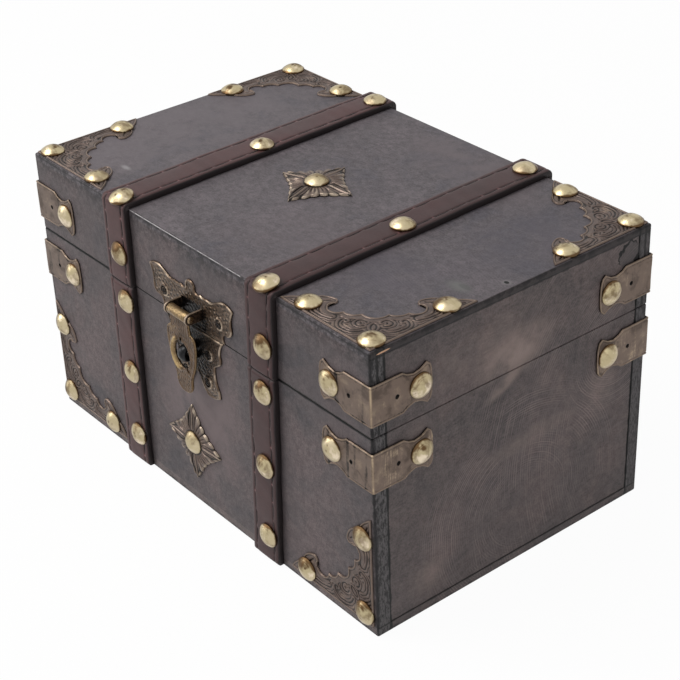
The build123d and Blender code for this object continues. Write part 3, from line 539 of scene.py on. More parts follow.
def patina_group():
    """Antique metal: dark in its low places, bright on its high and worn ones, blotched between."""
    tree, start, end = shader_group(
        "Antique Patina",
        {"Vector": [0.0, 0.0, 0.0], "Relief": 0.5, "Wear": 0.0, "Base": WHITE, "Bright": WHITE,
         "Dark": BLACK, "Blotch": 0.5, "Stipple": 0.0, "Streak": 0.0, "Polish": 0.3, "Grit": 0.4},
        {"Colour": tuple, "Roughness": float, "Height": float})
    vector = start["Vector"]
    wide = noise(vector, 130.0, 4.0, 0.6, 0.4)
    fine = noise(vector, 900.0, 3.0, 0.6)
    brushed = noise(stretched(vector, (1.0, 1.0, 0.06)), 1100.0, 2.0, 0.6)
    cells = fed("ShaderNodeTexVoronoi", {"Vector": vector, "Scale": 640.0})["Distance"]
    stipple = ramp(cells, 0.46, 0.16) * start["Stipple"]
    level = start["Relief"] + (fine - 0.5) * start["Grit"]
    level = level + (brushed - 0.5) * start["Streak"]
    toned = mix(ramp(level, 0.52, 0.12), start["Base"], start["Dark"])
    toned = mix(ramp(level, 0.72, 1.05), toned, start["Bright"])
    blotch = ramp(wide, 0.48, 0.66) * start["Blotch"]
    toned = mix(blotch, toned, start["Dark"])
    risen = ramp(level, 0.1, 0.45)
    glow = ramp(wide, 0.45, 0.3) * (start["Blotch"] * 0.5)
    glow = glow * risen
    toned = mix(glow, toned, start["Bright"])
    toned = mix(stipple * 0.85, toned, start["Dark"])
    worn = start["Wear"] * ramp(wide, 0.36, 0.6, 0.35, 1.0)
    worn = worn * risen
    toned = mix(worn, toned, start["Bright"])
    rough = multiply_add(blotch, 0.25, multiply_add(fine, 0.12, start["Polish"]))
    height = fine * 0.4 - stipple
    join(end, Colour=toned, Roughness=rough, Height=height)
    return tree


def leather_group():
    """Faux leather: a fine pebble grain with soft creases, and a slightly uneven sheen."""
    tree, start, end = shader_group(
        "Strap Grain",
        {"Vector": [0.0, 0.0, 0.0], "Base": WHITE, "Edge": BLACK, "Speck": WHITE, "Band": 0.0,
         "Groove": 0.0},
        {"Colour": tuple, "Roughness": float, "Height": float})
    vector = start["Vector"]
    pebble = fed("ShaderNodeTexVoronoi", {"Vector": vector, "Scale": 1500.0, "Randomness": 0.9},
                 feature="SMOOTH_F1")["Distance"]
    soft = noise(vector, 60.0, 3.0, 0.55)
    fine = noise(vector, 700.0, 3.0, 0.6)
    light = ramp(multiply_add(fine, 0.35, soft * 0.65), 0.3, 0.7, 0.8, 1.2)
    toned = mix(1.0, start["Base"], grey(light), "MULTIPLY")
    toned = mix(start["Groove"] * 0.72, toned, start["Edge"])
    speck = ramp(start["Groove"], 0.0, -0.6) * 0.55
    toned = mix(speck, toned, start["Speck"])
    toned = mix(start["Band"], toned, start["Edge"])
    rough = multiply_add(soft, 0.2, multiply_add(start["Band"], 0.12, 0.32))
    join(end, Colour=toned, Roughness=rough, Height=pebble + fine)
    return tree


def coordinates(tree):
    """Object coordinates, which are the chest's own frame in metres."""
    return node(tree, "ShaderNodeTexCoord")["Object"]


def stored(tree, name):
    """A value stored on the mesh."""
    return node(tree, "ShaderNodeAttribute", attribute_name=name)["Fac"]


def seen(tree):
    """1 where the camera looks, straight, in a reflection or through something clear."""
    path = node(tree, "ShaderNodeLightPath")
    indirect = greater(path["Is Glossy Ray"], path["Is Transmission Ray"])
    return greater(path["Is Camera Ray"], indirect)


def new_material(name):
    """A material, its node tree and its Principled shader's inputs."""
    material = bpy.data.materials.new(name)
    material.use_nodes = True
    tree = material.node_tree
    return material, tree, tree.nodes["Principled BSDF"].inputs


def finish(shader, effect, strength, distance_mm, toned=None, **constants):
    """Feeds a shader an effect's roughness, its height as bumps and its colour or a toned one."""
    relief = fed("ShaderNodeBump", {"Strength": strength, "Distance": distance_mm * MM,
                                    "Height": effect["Height"]})[0]
    join(shader, Base_Color=toned or effect["Colour"], Roughness=effect["Roughness"],
         Normal=relief, **constants)


GROUPS = {}


def effect_groups():
    """Makes each shared effect once."""
    GROUPS.update(stain=stain_group(), arris=arris_group(), sanding=sanding_group(),
                  patina=patina_group(), leather=leather_group())


def spot(vector, centre, radii, turn=0.0, soft=0.8):
    """1 in the middle of an ellipsoid and 0 outside it; its sizes are in millimetres."""
    local = fed("ShaderNodeMapping", {
        "Vector": vector, "Location": [c * MM for c in centre],
        "Rotation": turn_about(centre, turn), "Scale": [r * MM for r in radii]},
        vector_type="TEXTURE")[0]
    return ramp(vector_math("LENGTH", local)["Value"], 1.0, 1.0 - soft)


def turn_about(centre, degrees):
    """A turn in the plane of the face that a place is on: Z for the top, X for an end."""
    angle = math.radians(degrees)
    return (0.0, 0.0, angle) if centre[2] > TOP - 1 else (angle, 0.0, 0.0)


def board_material(name, base, pale, deep, stroke_turn, stroke_scale, cloud, brushing,
                   marks=(), patches=()):
    """Stained board: stain, rubbed patches, sanding marks, then grime on edges and joints."""
    material, tree, shader = new_material(name)
    vector = coordinates(tree)
    strokes = fed("ShaderNodeMapping", {
        "Vector": vector, "Rotation": [math.radians(a) for a in stroke_turn],
        "Scale": stroke_scale}, vector_type="TEXTURE")[0]
    stain = use(GROUPS["stain"],
                {"Vector": vector, "Strokes": strokes, "Base": colour(base), "Pale": colour(pale),
                 "Deep": colour(deep), "Cloud": cloud, "Brushing": brushing})
    toned = stain["Colour"]
    uneven = ramp(noise(vector, 60.0, 4.0, 0.6), 0.3, 0.62, 0.25, 1.0)
    for centre, radii, turn, tone, strength in patches:
        mask = spot(vector, centre, radii, turn) * uneven
        toned = mix(mask * strength, toned, colour(tone))
    for index, (centre, spacing, inner, outer, strength) in enumerate(marks):
        mark = use(GROUPS["sanding"],
                   {"Vector": vector, "Centre": [c * MM for c in centre], "Spacing": spacing * MM,
                    "Inner": inner * MM, "Outer": outer * MM, "Seed": index * 7.3})["Mask"]
        toned = mix(mark * strength, toned, colour(times(pale, 1.7)))
    lengths = {"Half width": HALF_W, "Half depth": HALF_D, "Height": TOP, "Seam": SEAM,
               "Board": BOARD, "Bottom": BOTTOM, "Panel": PANEL, "Rub from": HIGHLIGHT_SPAN[0],
               "Rub to": HIGHLIGHT_SPAN[1]}
    grime = use(GROUPS["arris"],
                {"Vector": vector, **{key: value * MM for key, value in lengths.items()}})
    pores = ramp(noise(stretched(vector, (1.0, 3.0, 1.0)), 420.0, 4.0, 0.7), 0.38, 0.6)
    rings = mix(pores, (0.013, 0.012, 0.013, 1.0), (0.13, 0.121, 0.123, 1.0))
    y = fed("ShaderNodeSeparateXYZ", {0: vector})[1]
    grain = grime["Grain"] * ramp(y, -0.02, 0.05, 0.92, 0.62)
    toned = mix(grain, toned, rings)
    toned = mix(grime["Band"] * 0.85, toned, (0.034, 0.027, 0.026, 1.0))
    toned = mix(grime["Edge"] * 0.85, toned, (0.009, 0.008, 0.009, 1.0))
    toned = mix(grime["Soot"] * 0.72, toned, (0.012, 0.011, 0.012, 1.0))
    toned = mix(grime["Line"], toned, (0.003, 0.003, 0.003, 1.0))
    # Painted highlight on the front top arris, in pale grey
    toned = mix(grime["Rub"], toned, (0.6, 0.58, 0.59, 1.0))
    finish(shader, stain, 0.16, 0.12, wood_marks(vector, toned), Specular_IOR_Level=0.22)
    return material


def patches_on(axis, place, depth, rows):
    """Patches on a plane across an axis: rows of place, half sizes, turn, tone and strength."""
    def three(pair, third):
        return (*pair[:axis], third, *pair[axis:])
    return [(three(at, place), three(radii, depth), *rest) for at, radii, *rest in rows]


def wood_marks(vector, toned):
    """Small marks of use: a pin hole and smears on the top, a bare sliver and a chip at the end,
    the chip outlined with painted shadow.
    """
    for centre, radii, soft, tone, strength in (
            ((115.3, -2.3, TOP), (3.0, 2.4, 2.0), 0.7, (0.20, 0.19, 0.19), 0.7),
            ((115.3, -2.3, TOP), (1.5, 1.1, 1.0), 0.35, BLACK[:3], 1.0),
            ((-77.0, -54.0, TOP), (5.0, 2.2, 2.0), 0.9, (0.31, 0.295, 0.305), 0.8),
            ((105.0, -18.0, TOP), (9.0, 5.0, 2.0), 0.9, (0.15, 0.15, 0.145), 0.8),
            ((107.0, -16.6, TOP), (4.2, 1.9, 2.0), 0.5, (0.085, 0.083, 0.083), 0.6)):
        toned = mix(spot(vector, centre, radii, 0.0, soft) * strength, toned, colour(tone))
    shake = vector_math("SUBTRACT", noise(vector, 330.0, 2.0, output="Color"), (0.5, 0.5, 0.5))[0]
    warped = vector_math("MULTIPLY_ADD", shake, (0.0, 0.0045, 0.0045), vector)[0]
    chip = spot(warped, (HALF_W, 63.6, 125.6), (1.5, 7.0, 6.4), 0.0, 0.08)
    toned = mix(chip * 0.55, toned, (0.075, 0.07, 0.072, 1.0))
    # Painted shadow: the chip's black rim and the black spot under it stand for the shade of a
    # broken edge that the board's shape doesn't have
    bottom = spot(warped, (HALF_W, 64.7, 124.4), (1.5, 7.4, 6.5), 0.0, 0.1)
    rim = calc("SUBTRACT", chip, bottom, clamp=True)
    toned = mix(rim, toned, BLACK)
    low = spot(warped, (HALF_W, 68.2, 121.8), (1.5, 1.7, 3.4), 0.0, 0.4)
    toned = mix(low, toned, BLACK)
    bare = spot(vector, (HALF_W, -69.6, 133.9), (1.5, 3.8, 0.45), 2.0, 0.3)
    return mix(bare, toned, (0.8, 0.48, 0.3, 1.0))


def metal_material(name, base, bright, dark, blotch, stipple=0.0, streak=0.0, polish=0.34,
                   grit=0.4, metallic=0.9, strength=0.35, stored_relief=True):
    """Antique metal: the patina group on the mesh's stored relief and wear."""
    material, tree, shader = new_material(name)
    patina = use(GROUPS["patina"], {
        "Vector": coordinates(tree), "Relief": stored(tree, "relief") if stored_relief else 0.66,
        "Wear": stored(tree, "wear") if stored_relief else 0.0,
        "Base": colour(base), "Bright": colour(bright), "Dark": colour(dark),
        "Blotch": blotch, "Stipple": stipple, "Streak": streak, "Polish": polish, "Grit": grit})
    finish(shader, patina, strength, 0.15, Metallic=metallic)
    return material


def strap_material(name, base, edge):
    """Faux leather with black cut edges and dark stitch grooves."""
    material, tree, shader = new_material(name)
    grain = use(GROUPS["leather"], {
        "Vector": coordinates(tree), "Base": colour(base), "Edge": colour(edge),
        "Speck": colour(times(base, 4.0)),
        "Band": stored(tree, "wear"), "Groove": stored(tree, "relief")})
    finish(shader, grain, 0.25, 0.06, Specular_IOR_Level=0.2)
    return material


def plain_material(name, base, roughness, speck):
    """A small trim finish: one colour broken up by a fine noise."""
    material, tree, shader = new_material(name)
    fine = noise(coordinates(tree), 900.0, 3.0, 0.6)
    toned = mix(ramp(fine, 0.35, 0.7), colour(base), colour(speck))
    join(shader, Base_Color=toned, Roughness=roughness)
    return material


# Settings that a user would change

def length(name, description, default, low=0.0, high=1.0):
    """A length property, in metres."""
    return bpy.props.FloatProperty(name=name, description=description, default=default * MM,
                                   min=low, max=high, precision=5, unit="LENGTH")


def tint(name, description, default):
    """A colour property."""
    return bpy.props.FloatVectorProperty(name=name, description=description, default=default,
                                         size=3, min=0.0, max=1.0, subtype="COLOR")


class ChestSizes(bpy.types.PropertyGroup):
    """Sizes of the pieces that are laid over the boards."""

    nail_radius: length("Nail radius", "Radius of a nail's domed head", 5.6)
    nail_height: length("Nail height", "Height of a nail's domed head", 3.0)
    stitch_pitch: length("Stitch pitch", "Distance from one stitch to the next along a strap", 9.6)
    stitch_inset: length("Stitch inset", "Distance of the stitches from a strap's edge", 2.7)
    plate_leg: length("Plate leg", "Length of a corner plate along each edge", 54.2)
    plate_thickness: length("Plate thickness", "Thickness of a corner plate", 0.9)
    bracket_thickness: length("Bracket thickness", "Thickness of a corner bracket", 1.0)
    diamond_reach: length("Diamond reach", "Distance from a diamond's middle to its tips", 19.8)
    latch_thickness: length("Latch thickness", "Thickness of the latch plates", 1.0)
    tongue_thickness: length("Tongue thickness", "Thickness of the latch tongue", 1.4)


class ChestColours(bpy.types.PropertyGroup):
    """Colours of the chest's finishes."""

    top_stain: tint("Top stain", "Grey stain on the top panel", (0.108, 0.095, 0.103))
    front_stain: tint("Front stain", "Grey stain on the front and back boards",
                      (0.088, 0.074, 0.077))
    end_stain: tint("End stain", "Browner stain on the end boards", (0.122, 0.100, 0.099))
    strap: tint("Strap", "Dark brown faux leather", (0.052, 0.0245, 0.0245))
    strap_edge: tint("Strap edge", "Black cut edge of the straps", (0.033, 0.027, 0.028))
    nail: tint("Nail", "Antique brass of the nails", (0.46, 0.385, 0.235))
    bronze: tint("Bronze", "Antique bronze of the corner plates", (0.116, 0.084, 0.072))
    bracket: tint("Bracket", "Satin bronze of the brackets", (0.155, 0.113, 0.090))
    latch: tint("Latch", "Cast bronze of the latch", (0.120, 0.080, 0.054))
    floor: tint("Floor", "Pale studio floor", (0.90, 0.90, 0.90))


def in_mm(context, *names):
    """The named sizes in millimetres."""
    return [getattr(context.scene.chest_sizes, name) / MM for name in names]


# Straps: the middle's x at the back edge, at the front top edge and at the foot; nails as a share
# of the run they are on and a shift in strap widths
STRAP_LEAN = {"left": (-53.5, -49.3, -51.8), "right": (51.0, 55.0, 48.5)}
BODY_NAILS = {
    "left": ((0.177, 0.206), (0.530, 0.180), (0.918, 0.245)),
    "right": ((0.154, 0.150), (0.532, 0.128), (0.918, 0.122)),
}
LID_NAIL = {"left": (0.407, 0.155), "right": (0.386, 0.188)}
TOP_NAILS = {"left": ((0.508, 0.196), (0.964, 0.146)), "right": ((0.474, 0.143), (0.958, 0.042))}
BEND_NAIL = {"left": 0.149, "right": 0.103}
BACK_BODY_NAILS = (0.167, 0.530, 0.918)
BACK_LID_NAIL = 0.399
BEND_SETBACK, BEND_TILT, BEND_LIFT = 0.7, 14.0, 0.4
STRAP_CROWN, STRAP_SQUARENESS = 0.22, 12
GROOVE_WIDTH, GROOVE_DEPTH = 0.36, 0.16
THREAD_RADIUS, THREAD_DEPTH, THREAD_BOW = 0.22, 0.56, 0.14


def strap_x(side, z):
    """Middle of a strap on the front at height z."""
    _, top, foot = STRAP_LEAN[side]
    return foot + (top - foot) * (z - STRAP_FOOT) / (TOP - STRAP_FOOT)


def strap_nail_faces():
    """The seats of the strap nails, for the body and for the lid."""
    body, lid = [], []
    for side, (back, top, _) in STRAP_LEAN.items():
        for share, shift in BODY_NAILS[side]:
            z = share * SEAM
            x = strap_x(side, z) + shift * STRAP_WIDTH
            body.append(face_at("front", x, z, STRAP_THICKNESS))
        for share in BACK_BODY_NAILS:
            body.append(face_at("back", -back, share * SEAM, STRAP_THICKNESS))
        share, shift = LID_NAIL[side]
        z = SEAM + share * (TOP - SEAM)
        lid.append(face_at("front", strap_x(side, z) + shift * STRAP_WIDTH, z, STRAP_THICKNESS))
        lid.append(face_at("back", -back, SEAM + BACK_LID_NAIL * (TOP - SEAM), STRAP_THICKNESS))
        for share, shift in TOP_NAILS[side]:
            x = top + (back - top) * share + shift * STRAP_WIDTH
            lid.append(face_at("top", x, (2 * share - 1) * HALF_D, STRAP_THICKNESS))
        x = top + BEND_NAIL[side] * STRAP_WIDTH
        seat = face_at("top", x, BEND_SETBACK - HALF_D, STRAP_THICKNESS, tilt=BEND_TILT)
        lid.append((seat[0] + BEND_LIFT * seat[3], *seat[1:]))
    return body, lid


def nail_head(face, radius, height, seed, tone=0.0, rings=22, around=48, skirt=0.7):
    """A domed head: a ball cap over a thin rim, with a shallow dent or two, closed underneath.

    At r from its middle the cap stands at h = rim + sqrt(B^2 - r^2) - (B - rise) on a ball of
    radius B, less a bell for each dent; the rim drops to a skirt that sinks into what it holds.
    """
    rim = 0.4
    rise = height - rim - 0.03
    ball = (radius ** 2 + rise ** 2) / (2 * rise)
    draw = np.random.default_rng(seed)
    r = radius * np.sin(np.linspace(0, math.pi / 2, rings)) ** 0.9
    h = rim + np.sqrt(ball ** 2 - r ** 2) - (ball - rise)
    r = np.r_[r, radius, radius * 0.985, 0.0]
    h = np.r_[h, rim * 0.3, -skirt, -skirt]
    turn = circle(around)
    u, v = polar(r[:, None], turn)
    on_top = (h > rim)[:, None] * smooth(radius - r, 0.0, 1.2)[:, None]
    lift = 0.05 * ripple(seed, u, v, scale=9.0, waves=4) - 0.05
    pit = 0.0 * u
    for _ in range(int(draw.integers(1, 3))):
        away, angle = radius * draw.uniform(0.05, 0.55), draw.uniform(0, math.tau)
        size = draw.uniform(0.45, 0.9)
        gap = np.hypot(u - away * math.cos(angle), v - away * math.sin(angle))
        pit = np.maximum(pit, draw.uniform(0.4, 1.0) * bump(gap, size))
    points = on_face(face, u, v, h[:, None] + on_top * (lift - 0.20 * pit))
    # Painted light: the head is darkened towards one side and lightened on the other. Its darker
    # rim is partly patina where it meets what it holds and partly painted dark reflection. The
    # blotches, dents and fine rings are tarnish
    lean = math.radians(135.0 + draw.uniform(-40, 40))
    side = (u * math.cos(lean) + v * math.sin(lean)) / radius
    tarnish_and_shade = 0.66 + tone - 0.46 * smooth(side, -0.20, 0.80)
    tarnish_and_shade = tarnish_and_shade + 0.20 * ripple(seed + 9, u, v, scale=8.0, waves=4)
    tarnish_and_shade = tarnish_and_shade + 0.07 * ripple(seed + 11, u, v, scale=2.0) - 0.45 * pit
    tarnish_and_shade = tarnish_and_shade + 0.05 * np.sin(math.tau * r / 0.75)[:, None]
    tarnish_and_shade = tarnish_and_shade - 0.5 * smooth(r / radius, 0.90, 1.0)[:, None]
    uneven = 0.6 + 0.4 * ripple(seed + 13, u, v, scale=6.0)
    # The lighter side is a painted highlight, raised or lowered by the tone
    worn = (0.26 + 1.6 * tone) * smooth(-side, -0.1, 0.6) * uneven
    return Grid(points, wrap_columns=True, relief=tarnish_and_shade, wear=np.clip(worn, 0, 1) * (1 - pit))


# Painted light: a lightness shift for each group of nails, lifting the lit groups and lowering the
# shaded ones
NAIL_LIGHT_SHIFTS = {"lid_corner_nails": -0.11, "lid_strap_nails": -0.02, "lid_bracket_nails": 0.20,
              "body_bracket_nails": 0.18}


def strap_path(kind, side, step=0.55):
    """A strap's centre line: base points on the boards and outward normals.

    The front run leans from foot to top; each quarter turn keeps its base on the box's edge
    while its normal swings; the top run leans from front to back.
    """
    back, top, foot = STRAP_LEAN[side]
    down, up = np.array([0, -1.0, 0]), np.array([0, 0, 1.0])
    gap = LID_FRONT_BOX[LOW].z / MM - SEAM

    def run(a, b, normal):
        count = max(2, int(np.linalg.norm(np.subtract(b, a)) / step))
        t = np.linspace(0, 1, count)[:, None]
        return np.array(a) + (np.array(b) - a) * t, np.tile(normal, (count, 1))

    def turn(at, first, last):
        t = np.linspace(0, math.pi / 2, 9)[1:-1, None]
        return np.tile(np.array(at, float), (len(t), 1)), np.cos(t) * first + np.sin(t) * last

    if kind == "front":
        return run((foot, -HALF_D, STRAP_FOOT), (strap_x(side, SEAM), -HALF_D, SEAM - gap), down)
    if kind == "back":
        foot_z, head_z = (corner.z / MM for corner in BACK_STRAP_BOX)
        return run((back, HALF_D, foot_z), (back, HALF_D, head_z), -down)
    parts = [
        run((strap_x(side, SEAM), -HALF_D, SEAM + gap), (top, -HALF_D, TOP), down),
        turn((top, -HALF_D, TOP), down, up),
        run((top, -HALF_D, TOP), (back, HALF_D, TOP), up),
        turn((back, HALF_D, TOP), up, -down),
        run((back, HALF_D, TOP), (back, HALF_D, BACK_BREAK), -down),
    ]
    return tuple(np.vstack(part) for part in zip(*parts))


def measured_path(kind, side):
    """A strap's path, with the length along its upper face to each point of it."""
    base, normal = strap_path(kind, side)
    steps = np.linalg.norm(np.diff(base + normal * STRAP_THICKNESS, axis=0), axis=1)
    return base, normal, np.r_[0, np.cumsum(steps)]


def strap_grid(kind, side, nails, inset, pitch, seed):
    """A padded strap: a flat-bottomed, crowned section carried along its path.

    With q from -1 to 1 across, the top stands at (T - C q^2) (1 - |q|^n)^(1/n) for the thickness T,
    crown C and squareness n, less a groove at each row of stitches and a dimple round each nail.
    """
    base, normal, along = measured_path(kind, side)
    half = STRAP_WIDTH / 2
    q = sine_spread(72)
    v = half * q * (1 + 0 * along[:, None])
    rise = (1 - np.abs(q) ** STRAP_SQUARENESS) ** (1 / STRAP_SQUARENESS)
    h = (STRAP_THICKNESS - STRAP_CROWN * q ** 2) * rise
    s = along[:, None] * np.ones_like(q)
    row = half - inset
    off_row = np.abs(v) - row
    groove = bump(off_row, GROOVE_WIDTH)
    phase = (s / pitch) % 1.0
    hole = bump(phase - 0.5, 0.075)
    level = h - groove * (GROOVE_DEPTH + GROOVE_DEPTH * (1 - hole))
    level = level + 0.08 * hole * bump(off_row, 0.8) - 0.06 * bump(off_row, 1.3)
    uneven = 0.07 * ripple(seed, s, v, scale=26.0) + 0.03 * ripple(seed + 1, s, v, scale=9.0)
    level = level + rise * (uneven - 0.08)
    level = level * (1 - 0.28 * bump(s, 0.7) - 0.28 * bump(along[-1] - s, 0.7))
    edge = v + 0.16 * np.abs(q) ** 3 * ripple(seed + 2, s, 30.0 * q, scale=34.0)
    across = np.array([1.0, 0, 0])
    points = base[:, None] + edge[..., None] * across + level[..., None] * normal[:, None]
    for seat in nails:
        away = np.linalg.norm(points - seat[0], axis=-1)
        sink = 0.35 * bump(away, 7.5) * smooth(h / STRAP_THICKNESS, 0.5, 0.9)
        points = points - sink[..., None] * normal[:, None]
    under = base[:, None] + np.linspace(half, -half, 6)[1:-1, None] * across
    points = np.concatenate([points, under + 0 * normal[:, None]], 1)
    band = 0.95 * fade(rise, 0.86, 0.985) * np.ones_like(s)
    band = np.maximum(band, np.maximum(bump(s, 0.45), bump(along[-1] - s, 0.45)))
    filled = smooth(0.9 + 0.5 * ripple(seed + 4, s, np.sign(v) * 40.0, scale=16.0), 0.3, 1.0)
    dark = groove * (1 - 0.9 * hole) * filled
    rubbed = smooth(ripple(seed + 5, s, v, scale=7.0), -0.5, 0.6)
    dark = dark - bump(phase - 0.5, 0.05) * bump(off_row, 0.55) * rubbed
    pad = np.zeros((len(along), 4))
    first, last = (np.repeat(row.mean(1, keepdims=True), points.shape[1], 1)
                   for row in (points[:1], points[-1:]))
    relief, wear = (np.concatenate([a[:1], a, a[-1:]]) for a in
                    (np.hstack([dark, pad]), np.hstack([band, pad + 1])))
    wear[0] = wear[-1] = 1.0
    return Grid(np.concatenate([first, points, last]), wrap_columns=True, relief=relief, wear=wear)


def stitches(kind, side, inset, pitch):
    """Threads in the stitch rows: each a thin bar with round ends, laid along the groove.

    A bar's radius is R sqrt(1 - (2t - 1)^8) for t from 0 to 1 along it.
    """
    base, normal, along = measured_path(kind, side)
    grids = []
    t = np.linspace(0, 1, 8)
    ring = circle(6)
    radius = THREAD_RADIUS * np.sqrt(1 - (2 * t - 1) ** 8)
    for first in np.arange(0.5 * pitch, along[-1] - 0.6 * pitch, pitch):
        s = first + pitch * (0.12 + 0.76 * t)
        for row in (-1, 1):
            spot, out = (np.stack([np.interp(s, along, path[:, k]) for k in range(3)], -1)
                         for path in (base, normal))
            out = out / np.linalg.norm(out, axis=1, keepdims=True)
            level = STRAP_THICKNESS - THREAD_DEPTH + THREAD_BOW * np.sin(math.pi * t)
            across = row * (STRAP_WIDTH / 2 - inset) + radius[:, None] * np.cos(ring)
            lift = level[:, None] + radius[:, None] * np.sin(ring)
            points = spot[:, None] + across[..., None] * np.array([1.0, 0, 0])
            points = points + lift[..., None] * out[:, None]
            grids.append(Grid(points, wrap_columns=True, relief=0.2))
    return grids


class CHEST_OT_boards(bpy.types.Operator):
    """Stains the boards of the body and the lid"""

    bl_idname = "chest.boards"
    bl_label = "Stain Boards"
    bl_options = {"REGISTER", "UNDO"}

    def execute(self, context):
        colours = context.scene.chest_colours
        effect_groups()
        stain, front_stain, end_stain = colours.top_stain, colours.front_stain, colours.end_stain
        cool, warm = times(stain, 0.78, 0.80, 0.90), times(end_stain, 3.2, 3.0, 2.72)
        top = board_material(
            "Top stain", stain, times(stain, 1.26, 1.24, 1.24), times(stain, 0.76, 0.79, 0.85),
            (0.0, 0.0, 4.0), (2.6, 1.0, 1.0), 0.85, 0.42,
            marks=[((60.0, -190.0, 135.0), 1.3, 130.0, 230.0, 0.12)],
            patches=patches_on(Z, TOP, 5.0, [
                ((-100.0, -10.0), (60.0, 110.0), 0.0, times(stain, 1.35), 0.75),
                ((30.0, -40.0), (45.0, 40.0), 0.0, times(stain, 1.22, 1.16, 1.16), 0.40),
                ((80.0, -30.0), (40.0, 30.0), 30.0, cool, 0.60),
                ((100.0, 30.0), (40.0, 50.0), 0.0, cool, 0.60),
                ((30.0, 58.0), (60.0, 24.0), -10.0, times(stain, 1.30, 1.24, 1.22), 0.85)]))
        front = board_material(
            "Front stain", front_stain, times(front_stain, 1.30, 1.22, 1.20),
            times(front_stain, 0.70, 0.74, 0.78), (0.0, 90.0, 0.0), (3.0, 1.0, 1.0), 0.95, 0.3,
            patches=patches_on(Y, -76.0, 5.0, [
                ((2.0, 56.0), (40.0, 50.0), 0.0, times(front_stain, 1.75, 1.62, 1.60), 1.0),
                ((96.0, 104.0), (34.0, 24.0), 0.0, times(front_stain, 0.86, 0.88, 0.90), 0.60),
                ((62.0, 40.0), (14.0, 50.0), 0.0, times(front_stain, 0.80, 0.80, 0.82), 0.50),
                ((-76.0, 100.0), (12.0, 40.0), 0.0, times(front_stain, 0.82, 0.82, 0.84), 0.40)]))
        end = board_material(
            "End stain", end_stain, times(end_stain, 1.38, 1.30, 1.27),
            times(end_stain, 0.66, 0.69, 0.71), (4.0, 0.0, 0.0), (1.0, 5.0, 1.0), 0.70, 0.4,
            marks=[((HALF_W, 5.5, 27.4), 1.15, 12.0, 64.0, 1.0),
                   ((HALF_W, 58.0, 84.0), 1.05, 8.0, 36.0, 1.0),
                   ((HALF_W, 110.0, 40.0), 1.3, 60.0, 150.0, 0.70)],
            patches=patches_on(X, HALF_W, 30.0, [
                ((-1.0, 105.5), (27.0, 14.0), 10.0, warm, 0.86),
                ((-22.0, 116.0), (46.0, 14.0), 12.0, warm, 0.22),
                ((-8.0, 92.0), (15.0, 4.5), 24.0, warm, 0.70),
                ((50.0, 66.0), (13.0, 17.0), 0.0, warm, 0.32),
                ((8.0, 60.0), (38.0, 7.0), 5.0, warm, 0.30),
                ((-49.0, 17.0), (15.0, 12.0), 0.0, warm, 0.36),
                ((-52.0, 90.0), (12.0, 7.0), 0.0, warm, 0.30)]))
        for material, names in (
                (top, ["lid_top_panel"]),
                (front, ["lid_front_board", "lid_back_board", "front_board", "back_board"]),
                (end, ["left_end_board", "right_end_board", "lid_left_end_board",
                       "lid_right_end_board", "bottom_board"])):
            for name in names:
                dress(name, material)
        return {"FINISHED"}


class CHEST_OT_straps(bpy.types.Operator):
    """Makes the padded straps and their stitching"""

    bl_idname = "chest.straps"
    bl_label = "Make Straps"
    bl_options = {"REGISTER", "UNDO"}

    def execute(self, context):
        colours = context.scene.chest_colours
        thread = plain_material("Strap thread", (0.016, 0.010, 0.011), 0.7, (0.04, 0.028, 0.028))
        inset, pitch = in_mm(context, "stitch_inset", "stitch_pitch")
        body_nails, lid_nails = strap_nail_faces()
        # Painted light: the left straps get a lit copy of the leather and the right ones a slightly
        # shaded copy
        for index, (side, painted_lightness) in enumerate((("left", 1.34), ("right", 0.96))):
            leather = strap_material(f"Strap leather {side}", times(colours.strap, painted_lightness),
                                     colours.strap_edge)
            for kind, body, name, nails in (
                    ("front", "chest", f"{side}_front_strap", body_nails),
                    ("back", "chest", f"{side}_back_strap", body_nails),
                    ("lid", "lid", f"{side}_lid_strap", lid_nails)):
                seed = 40 + 10 * index + len(name)
                build(f"{name}_pad", [strap_grid(kind, side, nails, inset, pitch, seed)],
                      leather, body, [name])
                build(f"{name}_stitches", stitches(kind, side, inset, pitch), thread, body)
        return {"FINISHED"}


# Places of the other nails

BRACKET_LEVELS = {"lid": 112.2, "body": 81.6}
BRACKET_NAIL, BRACKET_HOLE = 24.0, 12.0
NECK_START, HORN_TIP, BRACKET_END, BRACKET_NOSE = 15.2, 27.4, 28.6, 30.2
BRACKET_HALF, HORN_HALF, END_HALF = 9.1, 9.3, 8.2
NECK_BOW = 0.25
PLATE_NAILS = ((5.0, 5.0), (42.8, 5.0), (5.0, 42.8))
TOP_INSET, SIDE_INSET, FOOT_INSET = 1.2, 2.0, 4.4
FRONT_DIAMOND = ("front", -4.5, 33.5, 0.0, 0.9)
LID_DIAMOND = ("top", -3.6, -2.4, 12.0, 1.5)
DIAMOND_SEAT = 0.45


def diamond_seat(face, u, v, _, lift):
    """The seat of the nail in a diamond's middle."""
    return face_at(face, u, v, DIAMOND_SEAT + lift)


def plate_corners(face):
    """Corners of the plates on a face: name, face, corner and the turn towards the middle."""
    if face == "top":
        u, v = HALF_W - TOP_INSET, HALF_D - TOP_INSET
        return [("front_left", "top", (-u, -v), (1, 1)), ("front_right", "top", (u, -v), (-1, 1)),
                ("back_left", "top", (-u, v), (1, -1)), ("back_right", "top", (u, v), (-1, -1))]
    u, v = HALF_W - SIDE_INSET, FOOT_INSET
    return [("left", "front", (-u, v), (1, 1)), ("right", "front", (u, v), (-1, 1))]


def bracket_corners():
    """Upright corners: name, long face and its corner u, end face and its corner u."""
    return [
        ("front_left", ("front", -HALF_W), ("left", HALF_D)),
        ("front_right", ("front", HALF_W), ("right", -HALF_D)),
        ("back_left", ("back", HALF_W), ("left", -HALF_D)),
        ("back_right", ("back", -HALF_W), ("right", HALF_D)),
    ]


